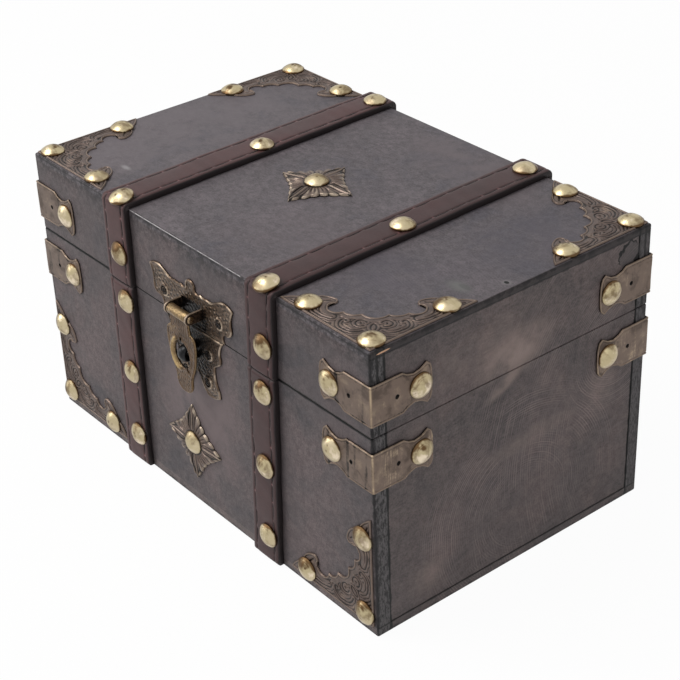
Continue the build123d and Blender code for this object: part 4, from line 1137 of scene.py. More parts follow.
class CHEST_OT_nails(bpy.types.Operator):
    """Makes the domed upholstery nails"""

    bl_idname = "chest.nails"
    bl_label = "Make Nails"
    bl_options = {"REGISTER", "UNDO"}

    def execute(self, context):
        colours = context.scene.chest_colours
        base = colours.nail
        brass = metal_material("Nail brass", base, times(base, 1.60, 1.62, 2.00),
                               times(base, 0.24, 0.17, 0.13), 0.66,
                               polish=0.30, grit=0.22, metallic=1.0, strength=0.06)
        radius, height, plate, bracket = in_mm(
            context, "nail_radius", "nail_height", "plate_thickness", "bracket_thickness")
        body_straps, lid_straps = strap_nail_faces()
        groups = {
            "body_strap_nails": ("chest", body_straps), "lid_strap_nails": ("lid", lid_straps),
            "lid_corner_nails": ("lid", []), "front_corner_nails": ("chest", []),
            "body_bracket_nails": ("chest", []), "lid_bracket_nails": ("lid", []),
            "front_diamond_nail": ("chest", [diamond_seat(*FRONT_DIAMOND)]),
            "lid_diamond_nail": ("lid", [diamond_seat(*LID_DIAMOND)]),
        }
        for node_name, side in (("lid_corner_nails", "top"), ("front_corner_nails", "front")):
            for _, face, corner, turn in plate_corners(side):
                for u, v in PLATE_NAILS:
                    groups[node_name][1].append(
                        face_at(face, corner[0] + turn[0] * u, corner[1] + turn[1] * v, plate))
        for level, z in BRACKET_LEVELS.items():
            for _, *legs in bracket_corners():
                for face, corner in legs:
                    u = corner - math.copysign(BRACKET_NAIL, corner)
                    groups[f"{level}_bracket_nails"][1].append(face_at(face, u, z, bracket))
        for number, (node_name, (body, seats)) in enumerate(groups.items()):
            # Painted light: the group's lightness shift
            tone = NAIL_LIGHT_SHIFTS.get(node_name, 0.04)
            heads = [nail_head(seat, radius, height, 100 * number + k, tone)
                     for k, seat in enumerate(seats)]
            build(f"{node_name}_heads", heads, brass, body, [node_name])
        return {"FINISHED"}


def bracket_grid(legs, z, thickness, warmth, seed):
    """A bracket bent round a corner: s runs from one nose to the other, t across its height.

    Its half height H(s) narrows to a neck, flares to two horns and closes on a round nose. The
    face stands at the thickness, with a rounded edge, a thin raised rim and a ring round the hole.
    """
    reach = np.r_[np.linspace(BRACKET_NOSE, BRACKET_END, 7), np.linspace(BRACKET_END, 0.0, 112)[1:]]
    s = np.r_[-reach, np.zeros(5), reach[::-1]]
    bend = np.r_[np.zeros(len(reach)), np.linspace(0, 1, 7)[1:-1], np.ones(len(reach))]
    a = np.abs(s)
    neck = np.interp(a, [NECK_START, 17.5, 20.8, 24.2, HORN_TIP],
                     [BRACKET_HALF, 7.7, 6.8, 7.5, HORN_HALF])
    bow = NECK_BOW * np.sin(np.clip((a - NECK_START) / (HORN_TIP - NECK_START), 0, 1) * math.pi)
    neck = np.where(a < NECK_START, BRACKET_HALF, neck - bow)
    horn = np.interp(a, [HORN_TIP, BRACKET_END], [HORN_HALF, END_HALF])
    past_end = (a - BRACKET_END) / (BRACKET_NOSE - BRACKET_END)
    nose = END_HALF * np.sqrt(np.clip(1 - past_end ** 2, 0, 1))
    half = np.where(a > BRACKET_END, nose, np.where(a > HORN_TIP, horn, neck))
    t = sine_spread(84)
    v = half[:, None] * t
    ss = s[:, None] * np.ones_like(t)
    outline = np.r_[np.stack([s, half], -1), np.stack([s, -half], -1)[::-1]]
    outline = np.r_[outline, outline[:1]]
    d = distance(np.stack([ss, v], -1), outline)
    level = thickness - 0.30 * fade(d, 0.0, 0.2)
    level = level - 0.18 * bump(d - 1.0, 0.34) - 0.04 * smooth(d, 0.5, 1.0)
    hole = np.hypot(np.abs(ss) - BRACKET_HOLE, v)
    level = level + 0.06 * bump(hole - 1.1, 0.35) - 0.8 * fade(hole, 0.55, 0.85)
    level = level + 0.05 * ripple(seed, ss, v, scale=16.0)
    fold = bump(ss, 0.5) * bump((bend[:, None] - 0.5) * 1.57, 0.45)

    def place(h):
        first, second = (on_face(FACES[face], corner - np.copysign(ss, corner), z + v, h)
                         for face, corner in legs)
        edge = on_face(FACES[legs[0][0]], np.full_like(v, legs[0][1]), z + v, np.zeros_like(v))
        angle = (bend[:, None] * math.pi / 2)[..., None]
        out_first, out_second = (FACES[face][3] for face, _ in legs)
        bent = edge + h[..., None] * (np.cos(angle) * out_first + np.sin(angle) * out_second)
        flat = np.where((s < 0)[:, None, None], first, second)
        return np.where((a < 1e-6)[:, None, None], bent, flat)

    relief = 0.60 + 0.07 * ripple(seed + 1, ss, v, scale=11.0) - 0.24 * bump(d - 1.0, 0.32)
    relief = relief + warmth * smooth(ss, -1.0, 3.0) - 1.8 * fade(hole, 0.82, 0.98)
    scratched = smooth(ripple(seed + 2, ss, 0.12 * v, scale=5.0, waves=9), 0.5, 1.3)
    relief = relief - 0.25 * scratched * (ss < 0)
    wear = np.maximum(0.9 * fold, 0.32 * bump(d - 0.24, 0.17)) * smooth(hole, 0.8, 1.1)
    return closed(place(level), place(np.zeros_like(level)), True, relief, wear)


class CHEST_OT_brackets(bpy.types.Operator):
    """Makes the bent corner brackets"""

    bl_idname = "chest.brackets"
    bl_label = "Make Brackets"
    bl_options = {"REGISTER", "UNDO"}

    def execute(self, context):
        colours = context.scene.chest_colours
        base = colours.bracket
        bronze = metal_material("Bracket bronze", base, (0.50, 0.385, 0.26), times(base, 0.03),
                                0.40, streak=0.55, polish=0.38, metallic=0.85, strength=0.25)
        [thickness] = in_mm(context, "bracket_thickness")
        for level, body, warmth in (("lid", "lid", 0.02), ("body", "chest", 0.13)):
            z = BRACKET_LEVELS[level]
            for number, (name, *legs) in enumerate(bracket_corners()):
                grid = bracket_grid(legs, z, thickness, warmth, 300 + 10 * number + len(level))
                build(f"{level}_bracket_{name}_strip", [grid], bronze, body,
                      [f"{level}_bracket_{name}"])
        return {"FINISHED"}


PLATE_OUTLINE = (
    (0.0, 1.0),
    (((0.080, 0.940), (0.146, 0.851)), ((0.247, 0.786), (0.280, 0.712)),
     ((0.268, 0.668), (0.231, 0.658)), ((0.196, 0.672), (0.166, 0.655)),
     ((0.138, 0.590), (0.203, 0.528)), ((0.214, 0.455), (0.282, 0.411)),
     ((0.279, 0.355), (0.306, 0.306))),
)
PLATE_ROWS = (0, 33, 66, 99, 132, 148, 165, 182, 198, 231)
PLATE_SHARES = (1.0, 0.86, 0.745, 0.690, 0.660, 0.600, 0.500, 0.420, 0.335, 0.0)


def scroll_lines():
    """Engraved scrolls of one half of a corner plate, in millimetres from its corner."""
    eye = np.array((10.4, 17.4))
    ring = np.radians(np.linspace(-170, 120, 36))
    return [
        eye + 2.2 * np.stack([np.sin(ring), np.cos(ring)], -1),
        eye + np.array([[-0.2, -0.2], [0.2, 0.2]]),
        trace((7.4, 12.6), [((3.9, 14.8), (2.9, 18.8)), ((3.4, 22.4), (6.0, 24.2)),
                            ((7.6, 24.0), (7.4, 22.6))]),
        trace((3.2, 38.6), [((2.7, 33.0), (3.8, 28.6)), ((5.8, 27.0), (7.0, 29.4))]),
        trace((7.2, 32.6), [((7.0, 30.4), (8.4, 27.4))]),
        trace((9.8, 9.8), [((12.6, 11.0), (13.6, 13.6))]),
        trace((2.2, 40.6), [((3.2, 45.0), (2.0, 49.5))]),
        trace((9.6, 41.8), [((11.2, 40.0), (12.8, 38.6))]),
    ]


def plate_surface(leg, thickness):
    """A corner plate's surface: rows run from its scalloped inner outline straight to its edges.

    The face stands at the thickness on a narrow rim along every edge and lower inside it, with a
    groove on each engraved scroll, and echo grooves where the distance to the nearest is a
    whole number of pitches.
    """
    start, spans = PLATE_OUTLINE
    half = trace(start, spans, 34) * leg
    inner = np.vstack([half, half[-2::-1, ::-1]])
    outer_v = np.interp(np.arange(len(half)), PLATE_ROWS, PLATE_SHARES)
    edge = np.stack([np.zeros(len(half)), outer_v * leg], -1)
    outer = np.vstack([edge, edge[-2::-1, ::-1]])
    t = eased(104)
    flat = inner[:, None] * (1 - t[:, None]) + outer[:, None] * t[:, None]
    to_inner = distance(flat, inner)
    d = np.minimum(to_inner, np.minimum(flat[..., 0], flat[..., 1]))
    to_line = np.full(flat.shape[:2], 99.0)
    for line in scroll_lines():
        for whole in (line, line[:, ::-1]):
            to_line = np.minimum(to_line, distance(flat, whole))
    u, v = flat[..., 0], flat[..., 1]
    field = smooth(d, 0.8, 1.7)
    near = np.minimum(to_line, np.maximum(to_inner - 2.0, 0.35)) + 0.16 * ripple(5, u, v, scale=5.0)
    pitch = 1.5
    echo = 0.5 + 0.5 * np.cos(math.tau * near / pitch)
    groove = np.where(near < 0.5 * pitch, bump(to_line, 0.42), 0.85 * echo ** 3) * field
    ridge = (1 - echo) ** 2 * field
    rim_line = bump(d - 1.0, 0.32)
    level = thickness - 0.5 * fade(d, 0.0, 0.25) - 0.16 * smooth(d, 0.5, 1.0)
    level = level - 0.36 * groove + 0.06 * ridge - 0.14 * rim_line
    relief = 0.60 + 0.16 * ridge - 0.62 * groove - 0.34 * rim_line
    relief = relief + 0.09 * ripple(8, u, v, scale=6.0, waves=8)
    wear = 0.50 * bump(d - 0.36, 0.24)
    return u, v, level, relief, wear


def plate_grid(face_name, corner, turn, surface):
    """Places a corner plate's surface on a face, closed underneath."""
    u, v, level, relief, wear = surface
    along, up = corner[0] + turn[0] * u, corner[1] + turn[1] * v
    return slab(FACES[face_name], along, up, level, True, relief, wear)


class CHEST_OT_corner_plates(bpy.types.Operator):
    """Makes the engraved corner plates"""

    bl_idname = "chest.corner_plates"
    bl_label = "Make Corner Plates"
    bl_options = {"REGISTER", "UNDO"}

    def execute(self, context):
        colours = context.scene.chest_colours
        base = colours.bronze
        bronze = metal_material("Plate bronze", base, (0.34, 0.25, 0.18), (0.022, 0.017, 0.015),
                                0.30, polish=0.36, metallic=0.75, strength=0.25)
        surface = plate_surface(*in_mm(context, "plate_leg", "plate_thickness"))
        for side, body, prefix in (("top", "lid", "lid_corner_plate"),
                                   ("front", "chest", "front_corner_plate")):
            for name, face, corner, turn in plate_corners(side):
                grid = plate_grid(face, corner, turn, surface)
                build(f"{prefix}_{name}_relief", [grid], bronze, body,
                      [f"{prefix}_{name}"])
        return {"FINISHED"}


def diamond_grid(face, reach, lift, seed):
    """A ribbed diamond, round its middle: R(angle) bows in between four tips, with scallops.

    It is domed by the lift at its middle. Ribs |sin| of the share along a side grow outwards,
    and a leaf with a spine runs out to each tip.
    """
    angle = circle(400)
    fold = np.abs((angle + math.pi / 4) % (math.pi / 2) - math.pi / 4)
    share = np.abs(np.tan(fold)) / (1 + np.abs(np.tan(fold)))
    straight = reach / (np.cos(fold) + np.sin(fold))
    wave = np.abs(np.sin(6 * math.pi * share))
    radius = straight - 2.7 * 4 * share * (1 - share) + 0.95 * wave * np.minimum(1, 4 * share)
    rr = eased(56) * radius[:, None]
    off = rr * np.sin(fold)[:, None]
    leaf = 2.4 * smooth(rr, 4.0, 9.0) * (1 - 0.8 * smooth(rr, 12.0, reach))
    in_leaf = fade(off, 0.8 * leaf, leaf + 0.1)
    grow = smooth(rr, 5.2, 8.5)
    d = radius[:, None] - rr
    inward = fade(rr, 8.5, 13.0)
    ribs = wave[:, None] * (1 - inward) + inward * np.abs(np.sin(10 * math.pi * share))[:, None]
    dome = lift * fade(rr, 1.0, 0.92 * reach)
    spine = bump(off, 0.42)
    leaf_edge = bump(off - leaf, 0.40)
    leaf_rise = 0.34 + 0.34 * spine - 0.22 * bump(off - 0.9, 0.35)
    height = (1 - in_leaf) * 0.55 * ribs + in_leaf * leaf_rise
    height = height + 0.30 * bump(off - leaf - 0.5, 0.35) - 0.40 * leaf_edge
    level = 0.58 + dome + grow * height * smooth(d, -0.3, 0.7) - 0.40 * fade(d, 0.0, 0.35)
    u, v = polar(rr, angle[:, None])
    level = np.maximum(level + 0.03 * ripple(seed, u, v, scale=4.0), 0.08)
    dark = (1 - in_leaf) * (1 - ribs) ** 1.5 + in_leaf * 0.7 * bump(off - 0.9, 0.4) + leaf_edge
    relief = 0.60 - 0.60 * np.clip(dark, 0, 1) * grow + 0.16 * ribs * grow * (1 - in_leaf)
    relief = relief - 0.55 * smooth(rr, 6.8, 5.6) + 0.08 * ripple(seed + 2, u, v, scale=12.0)
    wear = 0.50 * bump(d - 0.30, 0.50) + 0.30 * in_leaf * spine * grow
    wear = wear + 0.25 * (ribs ** 3) * smooth(rr, 7.0, 13.0) * (1 - in_leaf)
    return slab(face, u, v, level, False, relief, wear)


class CHEST_OT_diamonds(bpy.types.Operator):
    """Makes the two ribbed diamonds"""

    bl_idname = "chest.diamonds"
    bl_label = "Make Diamonds"
    bl_options = {"REGISTER", "UNDO"}

    def execute(self, context):
        colours = context.scene.chest_colours
        base = times(colours.bronze, 1.10)
        bronze = metal_material("Diamond bronze", base, (0.46, 0.38, 0.29), (0.016, 0.013, 0.011),
                                0.35, polish=0.34, metallic=0.80, strength=0.25)
        [reach] = in_mm(context, "diamond_reach")
        for name, body, (face, u, v, turn, lift) in (("front_diamond", "chest", FRONT_DIAMOND),
                                                     ("lid_diamond", "lid", LID_DIAMOND)):
            grid = diamond_grid(face_at(face, u, v, turn=turn), reach, lift, len(name))
            build(f"{name}_ribs", [grid], bronze, body, [name])
        return {"FINISHED"}


LID_PLATE = ((22.7, 0.3), (
    ((21.8, 2.5), (23.6, 5.0)), ((27.2, 5.8), (28.4, 10.5)), ((28.6, 14.0), (30.4, 18.6)),
    ((24.6, 20.6), (17.6, 18.3)), ((14.6, 17.1), (11.7, 17.3)), ((9.5, 17.0), (7.0, 17.6)),
    ((4.2, 17.0), (3.0, 18.0)), ((2.2, 21.3), (0.0, 21.9))))
BODY_PLATE = ((21.6, -0.3), (
    ((19.0, -4.0), (18.4, -8.0)), ((18.6, -11.0), (16.6, -13.2)), ((13.9, -15.0),),
    ((13.6, -20.0), (15.4, -26.0)), ((16.2, -28.5), (16.2, -30.0)), ((12.0, -31.8), (7.0, -31.9)),
    ((4.2, -28.5), (2.4, -25.0)), ((1.4, -23.2), (0.0, -22.8))))
OUTLINE_POINTS = 420
PIN_RING, PIN_RADIUS, PIN_DOME, PIN_SEAT = 2.5, 1.6, 0.85, 0.75
WINDOW_HALF_WIDTH, WINDOW_HALF_HEIGHT = 6.6, 3.4
ARM_END, ARM_WIDTH, ARM_REACH, ARM_ROOT = 8.0, 1.0, 2.69, 0.6
LID_PINS = ((-19.8, 9.0), (19.8, 9.0))
BODY_PINS = ((-10.2, -10.1), (10.2, -10.1), (-8.0, -24.8), (8.0, -24.8))


def radius_by_angle(line, centre, angle):
    """A star-shaped outline's distance from its centre at each angle."""
    away = line - centre
    at = np.arctan2(away[:, 1], away[:, 0]) % math.tau
    order = np.argsort(at)
    return np.interp(angle, at[order], np.linalg.norm(away, axis=1)[order], period=math.tau)


def mirrored(half):
    """A half outline and its mirror image, closed by a straight edge with points all along it."""
    edge = np.linspace(half[0] * (-1, 1), half[0], 60)
    return np.vstack([half, half[::-1] * (-1, 1), edge])


def latch_plate_grid(outline, middle, pins, thickness, window, shade_at, seed):
    """A cast latch plate about its middle: rim, stippled ground and a raised ring round each pin.

    P(angle, r) = middle + r R(angle); h = thickness on the rim, lower inside, plus a bell for
    each ring.
    """
    line = mirrored(trace(*outline, 18))
    angle = circle(OUTLINE_POINTS)
    radius = radius_by_angle(line, np.array(middle), angle)
    r = 1 - (1 - np.linspace(0, 1, 74)) ** 1.15
    rr = r * radius[:, None]
    u, v = polar(rr, angle[:, None], middle)
    d = distance(np.stack([u, v], -1), line)
    level = thickness - 0.5 * fade(d, 0.0, 0.35) - 0.22 * smooth(d, 0.9, 1.6)
    stipple = ripple(seed, u, v, scale=1.6, waves=14)
    level = level + 0.05 * stipple * smooth(d, 1.2, 1.8)
    relief = 0.50 + 0.16 * bump(d - 0.4, 0.5) + 0.24 * stipple * smooth(d, 0.8, 1.5)
    # Painted shade: the relief is lowered where shade_at gives shade
    relief = relief - shade_at(u, v)
    wear = 0.80 * bump(d - 0.34, 0.30) * smooth(0.45 + ripple(seed + 3, u, v, scale=9.0), 0.0, 1.0)
    for pin_u, pin_v in pins:
        away = np.hypot(u - pin_u, v - pin_v)
        # Painted highlight: a bright crescent on the right side of each ring
        right = smooth((u - pin_u - 0.3 * (v - pin_v)) / PIN_RING, -0.2, 0.9)
        level = level + 0.55 * bump(away - PIN_RING, 0.55) - 0.45 * fade(away, 1.5, 2.1)
        relief = relief + 0.20 * bump(away - PIN_RING, 0.5) - 0.75 * fade(away, 1.8, 2.3)
        wear = wear + 0.75 * bump(away - 2.55, 0.38) * right
    if window:
        side, low, high = window
        inside = math.prod(smooth(gap, -0.2, 0.3) for gap in (side - np.abs(u), v - low, high - v))
        level = level - 0.62 * inside
        # The window's recess is darkened in colour: it stands for the dark wood a real window would
        # show, with painted shade under the barrel
        relief = relief - 0.9 * inside
        wear = wear * (1 - inside)
    # No wear shows in the painted shade
    wear = wear * fade(shade_at(u, v), 0.1, 0.4)
    return slab(FACES["front"], LATCH_X + u, SEAM + v, level, False, relief, wear)


def pin_head(face, radius, height, seed):
    """A small domed pin head with a crossed slot: ball rise less two crossing grooves."""
    turn = circle(40)
    r = np.r_[np.linspace(0, 1, 12) ** 0.8, 1.0, 0.0] * radius
    h = height * np.sqrt(np.clip(1 - (r / radius) ** 2.6, 0, 1))
    h[-2:] = -0.3
    u, v = polar(r[:, None], turn + seed)
    inner = fade(r, 0.55 * radius, 0.8 * radius)[:, None]
    cut = np.maximum(bump(u, 0.24), bump(v, 0.24)) * inner
    cut[-2:] = 0
    a, b = u * math.cos(seed) + v * math.sin(seed), v * math.cos(seed) - u * math.sin(seed)
    # Painted highlight: the wear is a bright crescent on the same side of every head
    return Grid(on_face(face, a, b, h[:, None] - 0.45 * cut), wrap_columns=True,
                relief=0.20 - 0.5 * cut,
                wear=0.12 * bump(r / radius - 0.8, 0.2)[:, None] * smooth(a / radius, -0.2, 0.8))


def arm_grid(low_x, thickness):
    """An arm of the upper plate: a bar with a round end, seen from its side, with eased edges.

    The side outline is carried across the thickness, drawn in towards its middle at both faces.
    """
    root, reach = ARM_ROOT, ARM_REACH
    side = trace((root, -reach), [
        ((PIN_OUT, -reach),), ((PIN_OUT + reach, 0.0), (PIN_OUT, reach)), ((root, reach),),
        ((root, -reach),)], 24)[:-1]
    middle = np.array([PIN_OUT * 0.6, 0.0])
    across = np.array([0.0, 0.0, 0.08, 0.3, 0.7, 0.92, 1.0, 1.0]) * thickness
    scale = np.array([0.0, 0.93, 0.985, 1.0, 1.0, 0.985, 0.93, 0.0])
    points = middle + (side[:, None] - middle) * scale[:, None]
    x = LATCH_X + low_x + across[None, :] * np.ones((len(side), 1))
    y = -HALF_D - points[..., 0]
    z = PIN_HEIGHT + points[..., 1]
    wear = np.broadcast_to(np.array([0, 0.0, 0.9, 0.5, 0.5, 0.9, 0.0, 0]), x.shape)
    # Painted shade: the flat faces of the arm carry a low relief, darker than its edges
    relief = np.broadcast_to(np.array([0.30, 0.36, 0.8, 0.7, 0.7, 0.8, 0.36, 0.30]), x.shape)
    return Grid(np.stack([x, y, z], -1), wrap_rows=True, relief=relief, wear=wear)


def turned(profile, around=40):
    """A shape of revolution about the latch pin: (x, radius) pairs carried round it."""
    x, radius = np.array(profile, float).T
    turn = circle(around)
    y, z = polar(radius[:, None], turn, (PIN.y, PIN_HEIGHT))
    return np.stack([LATCH_X + x[:, None] * np.ones(around), y, z], -1)


class CHEST_OT_latch(bpy.types.Operator):
    """Makes the latch plates, the arms, the pins and the hasp pin"""

    bl_idname = "chest.latch"
    bl_label = "Make Latch"
    bl_options = {"REGISTER", "UNDO"}

    def execute(self, context):
        colours = context.scene.chest_colours
        base = colours.latch
        cast = metal_material("Latch bronze", base, (0.52, 0.42, 0.32), (0.006, 0.0045, 0.004),
                              0.30, stipple=0.85, polish=0.28, grit=0.90, metallic=0.80,
                              strength=0.7)
        worn = metal_material("Latch worn brass", times(base, 1.3), (0.58, 0.43, 0.22),
                              (0.03, 0.022, 0.013), 0.5, stipple=0.1, polish=0.22,
                              metallic=0.95, strength=0.3)
        [thickness] = in_mm(context, "latch_thickness")
        window = (WINDOW_HALF_WIDTH, PIN_HEIGHT - SEAM - WINDOW_HALF_HEIGHT,
                  PIN_HEIGHT - SEAM + WINDOW_HALF_HEIGHT)

        # Painted shade: darkening between the arms and round and behind the hanging tongue
        def lid_painted_shade(u, v):
            return 0.38 * smooth(11.0 - np.abs(u - 1.5), 0.0, 4.0) * smooth(13.5 - v, 0.0, 3.0)

        def body_painted_shade(u, v):
            behind = smooth(12.0 - u, 0.0, 9.0) * smooth(v + 30.0, 0.0, 14.0)
            wide = 0.12 * smooth(12.5 - np.abs(u - 2.0), 0.0, 8.0)
            return 0.36 * behind + wide * smooth(v + 24.0, 0.0, 12.0)

        arms = [arm_grid(low_x, ARM_WIDTH) for low_x in (-ARM_END, ARM_END - ARM_WIDTH)]
        build("latch_lid_plate_casting", [
            latch_plate_grid(LID_PLATE, (0.0, 8.0), LID_PINS, thickness, window, lid_painted_shade, 61),
            *arms], cast, "lid", ["latch_lid_plate"])
        build("latch_body_plate_casting", [
            latch_plate_grid(BODY_PLATE, (0.0, -12.0), BODY_PINS, thickness, None, body_painted_shade, 62)],
            cast, "chest", ["latch_body_plate"])
        for name, body, pins in (("latch_lid_pins", "lid", LID_PINS),
                                 ("latch_body_pins", "chest", BODY_PINS)):
            seats = [face_at("front", LATCH_X + u, SEAM + v, PIN_SEAT) for u, v in pins]
            heads = [pin_head(seat, PIN_RADIUS, PIN_DOME, 0.4 + k) for k, seat in enumerate(seats)]
            build(f"{name}_heads", heads, cast, body, [name])
        end = ARM_END
        head = [(end, 1.0), (end, 1.62), (end + 0.15, 1.7), (end + 0.5, 1.5), (end + 0.75, 0.9),
                (end + 0.8, 0.0)]
        profile = [(-x, radius) for x, radius in reversed(head)] + head
        rod = Grid(turned(profile), wrap_columns=True, relief=0.7, wear=0.35)
        build("latch_hasp_pin_rod", [rod], worn, "lid", ["latch_hasp_pin"])
        return {"FINISHED"}


TONGUE = ((6.7, 19.1), (
    ((6.7, 14.6), (7.0, 12.2)), ((8.6, 11.6), (9.9, 10.4)), ((10.5, 6.7), (10.1, 2.7)),
    ((9.2, -2.4), (7.4, -7.0)), ((6.3, -9.8), (5.7, -12.8)), ((4.3, -17.4), (0.0, -18.9))))
KEYHOLE = (5.5, 6.4)
SLITS = ((math.pi / 2, 8.2), (math.radians(-62.0), 8.4))
SLIT_HALF_WIDTH = 0.62


def tongue_grid(thickness, seed):
    """The tongue's shield round its keyhole: a closed band between the hole and the outline.

    P(angle, t) runs from the hole's edge to the outline; front and back are joined round both
    edges, with a rim on the outline and a raised lip on the hole.
    """
    line = mirrored(trace(*TONGUE, 16))
    angle = circle(OUTLINE_POINTS)
    outer = radius_by_angle(line, np.zeros(2), angle)
    a, b = KEYHOLE
    hole = a * b / np.hypot(b * np.cos(angle), a * np.sin(angle))
    for at, reach in SLITS:
        off = np.abs((angle - at + math.pi) % math.tau - math.pi)
        slit = np.minimum(reach, SLIT_HALF_WIDTH / np.maximum(np.sin(np.minimum(off, 1.5)), 1e-3))
        hole = np.maximum(hole, slit * (off < 0.4))
    t = eased(34)
    rr = hole[:, None] + (outer - hole)[:, None] * t
    u, v = polar(rr, angle[:, None])
    d_out = distance(np.stack([u, v], -1), line)
    d_in = rr - hole[:, None]
    d = np.minimum(d_out, d_in)
    half = thickness / 2
    stipple = ripple(seed, u, v, scale=1.6, waves=14) * smooth(d, 0.9, 1.5)
    edge = 0.45 * fade(d, 0.0, 0.45)
    # Painted light: a bright crescent on the lip's left side, the hole's inner edge darkened on its
    # other sides, and a painted highlight on only the left half of the outline
    left = smooth(-u - 0.15 * v, 0.5, 4.5)
    lip = bump(d_in - 0.9 - 0.5 * left, 0.6 + 0.5 * left) * (0.18 + 0.95 * left)
    front = half - edge + 0.05 * stipple + lip - 0.10 * smooth(d_out, 0.9, 1.5)
    back = -(half - edge)
    relief = 0.58 + 0.14 * bump(d - 0.5, 0.5) + 0.06 * stipple
    relief = relief - 0.5 * bump(d_in, 0.5) * (1 - left)
    wear = np.clip(0.22 * bump(d_out - 0.3, 0.30) * (u < 0) + 1.0 * lip * left, 0, 1)
    side = 0.35 * bump(d_out, 0.12)
    top, under = (on_face(FACES["front"], LATCH_X + u, STAPLE_HEIGHT + v, PIN_OUT + h)
                  for h in (front, back))
    return Grid(np.concatenate([top, under[:, ::-1]], 1), True, True,
                relief=np.concatenate([relief, relief[:, ::-1]], 1),
                wear=np.concatenate([np.clip(wear + side, 0, 1), side[:, ::-1]], 1))


class CHEST_OT_tongue(bpy.types.Operator):
    """Makes the hanging latch tongue"""

    bl_idname = "chest.tongue"
    bl_label = "Make Tongue"
    bl_options = {"REGISTER", "UNDO"}

    def execute(self, context):
        colours = context.scene.chest_colours
        base = times(colours.latch, 0.92, 0.84, 0.72)
        cast = metal_material("Tongue bronze", base, (0.46, 0.33, 0.16), (0.008, 0.006, 0.004),
                              0.40, stipple=0.8, polish=0.28, grit=0.85, metallic=0.85,
                              strength=0.6)
        [thickness] = in_mm(context, "tongue_thickness")
        end, radius, bore = 6.7, 2.3, 1.05
        rim = [(end - 0.4, radius), (end - 0.12, radius - 0.08), (end, radius - 0.35), (end, bore)]
        profile = [(-x, r) for x, r in reversed(rim)] + rim
        barrel = Grid(turned(profile, 56), wrap_rows=True, wrap_columns=True, relief=0.78,
                      wear=0.30)
        build("latch_tongue_shield", [tongue_grid(thickness, 71), barrel], cast, "hasp",
              ["latch_tongue"])
        return {"FINISHED"}


def staple_grid(wire=(2.5, 1.5), span=2.6, nose=9.2, count=40):
    """The staple's stout loop: two legs out of the board and a half turn between them.

    The middle line is (out, v) = (n - R + R sin a, R cos a) for the half turn, with an elliptic
    section across it, drawn in to a point at both ends inside the board.
    """
    turn = nose - wire[1] - span
    angle = np.linspace(0, math.pi, count)
    out = np.r_[-2.0, -2.0, turn * 0.5, turn + span * np.sin(angle), turn * 0.5, -2.0, -2.0]
    v = np.r_[span, span, span, span * np.cos(angle), -span, -span, -span]
    lean = np.r_[0, 0, 0, angle, math.pi, math.pi, math.pi]
    grow = np.r_[0, np.ones(len(out) - 2), 0]
    ring = circle(32)
    out, v, lean, grow = (column[:, None] for column in (out, v, lean, grow))
    x = wire[0] * np.cos(ring) * grow
    rise = wire[1] * np.sin(ring) * grow
    points = on_face(FACES["front"], LATCH_X + x, STAPLE_HEIGHT + v + rise * np.cos(lean),
                     out + rise * np.sin(lean))
    relief = 0.5 + 0.2 * ripple(75, x * 3, v + 0 * x, scale=5.0)
    return Grid(points, wrap_columns=True, relief=relief)


class CHEST_OT_hinges(bpy.types.Operator):
    """Makes the staple and finishes the hinges and their screws"""

    bl_idname = "chest.hinges"
    bl_label = "Finish Hinges"
    bl_options = {"REGISTER", "UNDO"}

    def execute(self, context):
        colours = context.scene.chest_colours
        brass = metal_material("Hinge brass", times(colours.bracket, 1.3), (0.50, 0.36, 0.20),
                               (0.04, 0.03, 0.02), 0.6, stored_relief=False)
        iron = metal_material("Staple iron", (0.008, 0.008, 0.009), (0.06, 0.06, 0.065),
                              (0.002, 0.002, 0.002), 0.4, polish=0.24, metallic=0.7)
        build("latch_staple_loop", [staple_grid()], iron, "chest", ["latch_staple"])
        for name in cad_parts:
            if "hinge" in name:
                dress(name, brass)
        return {"FINISHED"}


CAMERA_PLACE = (0.53489, -0.41290, 0.46436)
CAMERA_TURN = (
    (0.63119641, -0.38135249, 0.67539719),
    (0.77479622, 0.35020743, -0.52635119),
    (-0.03580378, 0.85552617, 0.51652014),
)
LENS_MM, SENSOR_MM = 90.75, 36.0
LIGHT_TARGET = (0, 0, 0.06)
FLOOR_HALF, FLOOR_POINTS, FLOOR_DROP = 2500.0, 9, 0.05
FLOOR_WHITE = 0.965
WORLD_ON_OBJECT, WORLD_TO_CAMERA = 0.26, 1.0


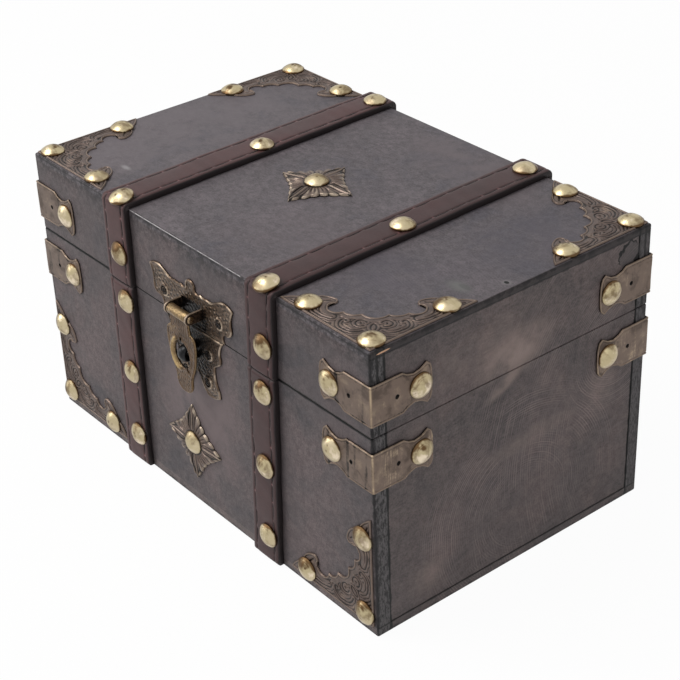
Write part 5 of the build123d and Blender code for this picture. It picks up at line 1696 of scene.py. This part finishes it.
class CHEST_OT_stage(bpy.types.Operator):
    """Makes the floor, the lights, the world and the camera"""

    bl_idname = "chest.stage"
    bl_label = "Make Stage"
    bl_options = {"REGISTER", "UNDO"}

    def execute(self, context):
        colours = context.scene.chest_colours
        scene = bpy.context.scene
        self.floor(colours.floor)
        self.world(scene)
        for name, place, size, power, tone in (
                ("key", (-0.55, -0.75, 1.45), 1.0, 18.5, (1.0, 0.985, 0.96)),
                ("side", (-1.3, -1.1, 0.55), 0.7, 6.0, (1.0, 0.99, 0.98)),
                ("fill", (1.5, -0.3, 0.8), 1.0, 2.0, (0.97, 0.985, 1.0))):
            light = bpy.data.lights.new(name, "AREA")
            light.shape, light.size, light.energy, light.color = "DISK", size, power, tone
            lamp = bpy.data.objects.new(f"{name}_light", light)
            scene.collection.objects.link(lamp)
            lamp.location = place
            aim = Vector(place) - Vector(LIGHT_TARGET)
            lamp.rotation_euler = aim.to_track_quat("Z", "Y").to_euler()
        camera = bpy.data.objects.new("camera", bpy.data.cameras.new("camera"))
        scene.collection.objects.link(camera)
        camera.data.lens, camera.data.sensor_width = LENS_MM, SENSOR_MM
        camera.data.clip_start = 0.01
        turn = Matrix([list(row) for row in CAMERA_TURN])
        camera.matrix_world = Matrix.Translation(CAMERA_PLACE) @ turn.to_4x4()
        scene.camera = camera
        scene.view_settings.view_transform = "Standard"
        return {"FINISHED"}

    @staticmethod
    def floor(tone):
        """A wide flat sheet just under the chest, pale to the camera, keeping the shadow."""
        side = np.linspace(-FLOOR_HALF, FLOOR_HALF, FLOOR_POINTS)
        x, y = np.meshgrid(side, side)
        grid = Grid(np.stack([x, y, np.full_like(x, -FLOOR_DROP)], -1) * MM)
        mesh = bpy.data.meshes.new("floor")
        mesh.from_pydata(grid.points.reshape(-1, 3).tolist(), [], grid.quads(0)[:, ::-1].tolist())
        sheet = bpy.data.objects.new("floor", mesh)
        bpy.context.scene.collection.objects.link(sheet)
        material, tree, shader = new_material("Studio floor")
        join(shader, Base_Color=colour(tone), Roughness=0.9)
        surface = Wire(tree.nodes["Principled BSDF"].outputs[0])
        white = node(tree, "ShaderNodeEmission", {"Color": WHITE, "Strength": 1.0})[0]
        blend = fed("ShaderNodeMixShader", {0: seen(tree) * FLOOR_WHITE, 1: surface, 2: white})[0]
        feed(tree.nodes["Material Output"].inputs["Surface"], blend)
        mesh.materials.append(material)

    @staticmethod
    def world(scene):
        """A plain soft world that is white to the camera and dimmer to the object."""
        world = bpy.data.worlds.new("studio")
        scene.world = world
        world.use_nodes = True
        tree = world.node_tree
        join(tree.nodes["Background"].inputs, Color=WHITE,
             Strength=ramp(seen(tree), 0.0, 1.0, WORLD_ON_OBJECT, WORLD_TO_CAMERA))


class CHEST_PT_panel(bpy.types.Panel):
    """Lists the steps that dress the chest"""

    bl_idname = "CHEST_PT_panel"
    bl_label = "Treasure Chest"
    bl_space_type = "VIEW_3D"
    bl_region_type = "UI"
    bl_category = "Chest"

    def draw(self, context):
        for operator in STEPS:
            self.layout.operator(operator.bl_idname)
        for settings in (context.scene.chest_sizes, context.scene.chest_colours):
            box = self.layout.box()
            for key in settings.bl_rna.properties.keys():
                if key not in ("rna_type", "name"):
                    box.prop(settings, key)


STEPS = (CHEST_OT_boards, CHEST_OT_straps, CHEST_OT_nails, CHEST_OT_brackets,
         CHEST_OT_corner_plates, CHEST_OT_diamonds, CHEST_OT_latch, CHEST_OT_tongue,
         CHEST_OT_hinges, CHEST_OT_stage)
CLASSES = (ChestSizes, ChestColours, *STEPS, CHEST_PT_panel)


def register():
    """Registers the classes and gives each scene its settings."""
    for item in CLASSES:
        bpy.utils.register_class(item)
    bpy.types.Scene.chest_sizes = bpy.props.PointerProperty(type=ChestSizes)
    bpy.types.Scene.chest_colours = bpy.props.PointerProperty(type=ChestColours)


def unregister():
    """Takes the settings and the classes away again."""
    del bpy.types.Scene.chest_colours
    del bpy.types.Scene.chest_sizes
    for item in reversed(CLASSES):
        bpy.utils.unregister_class(item)


def main():
    """Registers the add-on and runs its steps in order."""
    register()
    bpy.ops.chest.boards()
    bpy.ops.chest.straps()
    bpy.ops.chest.nails()
    bpy.ops.chest.brackets()
    bpy.ops.chest.corner_plates()
    bpy.ops.chest.diamonds()
    bpy.ops.chest.latch()
    bpy.ops.chest.tongue()
    bpy.ops.chest.hinges()
    bpy.ops.chest.stage()


if __name__ == "__main__":
    main()
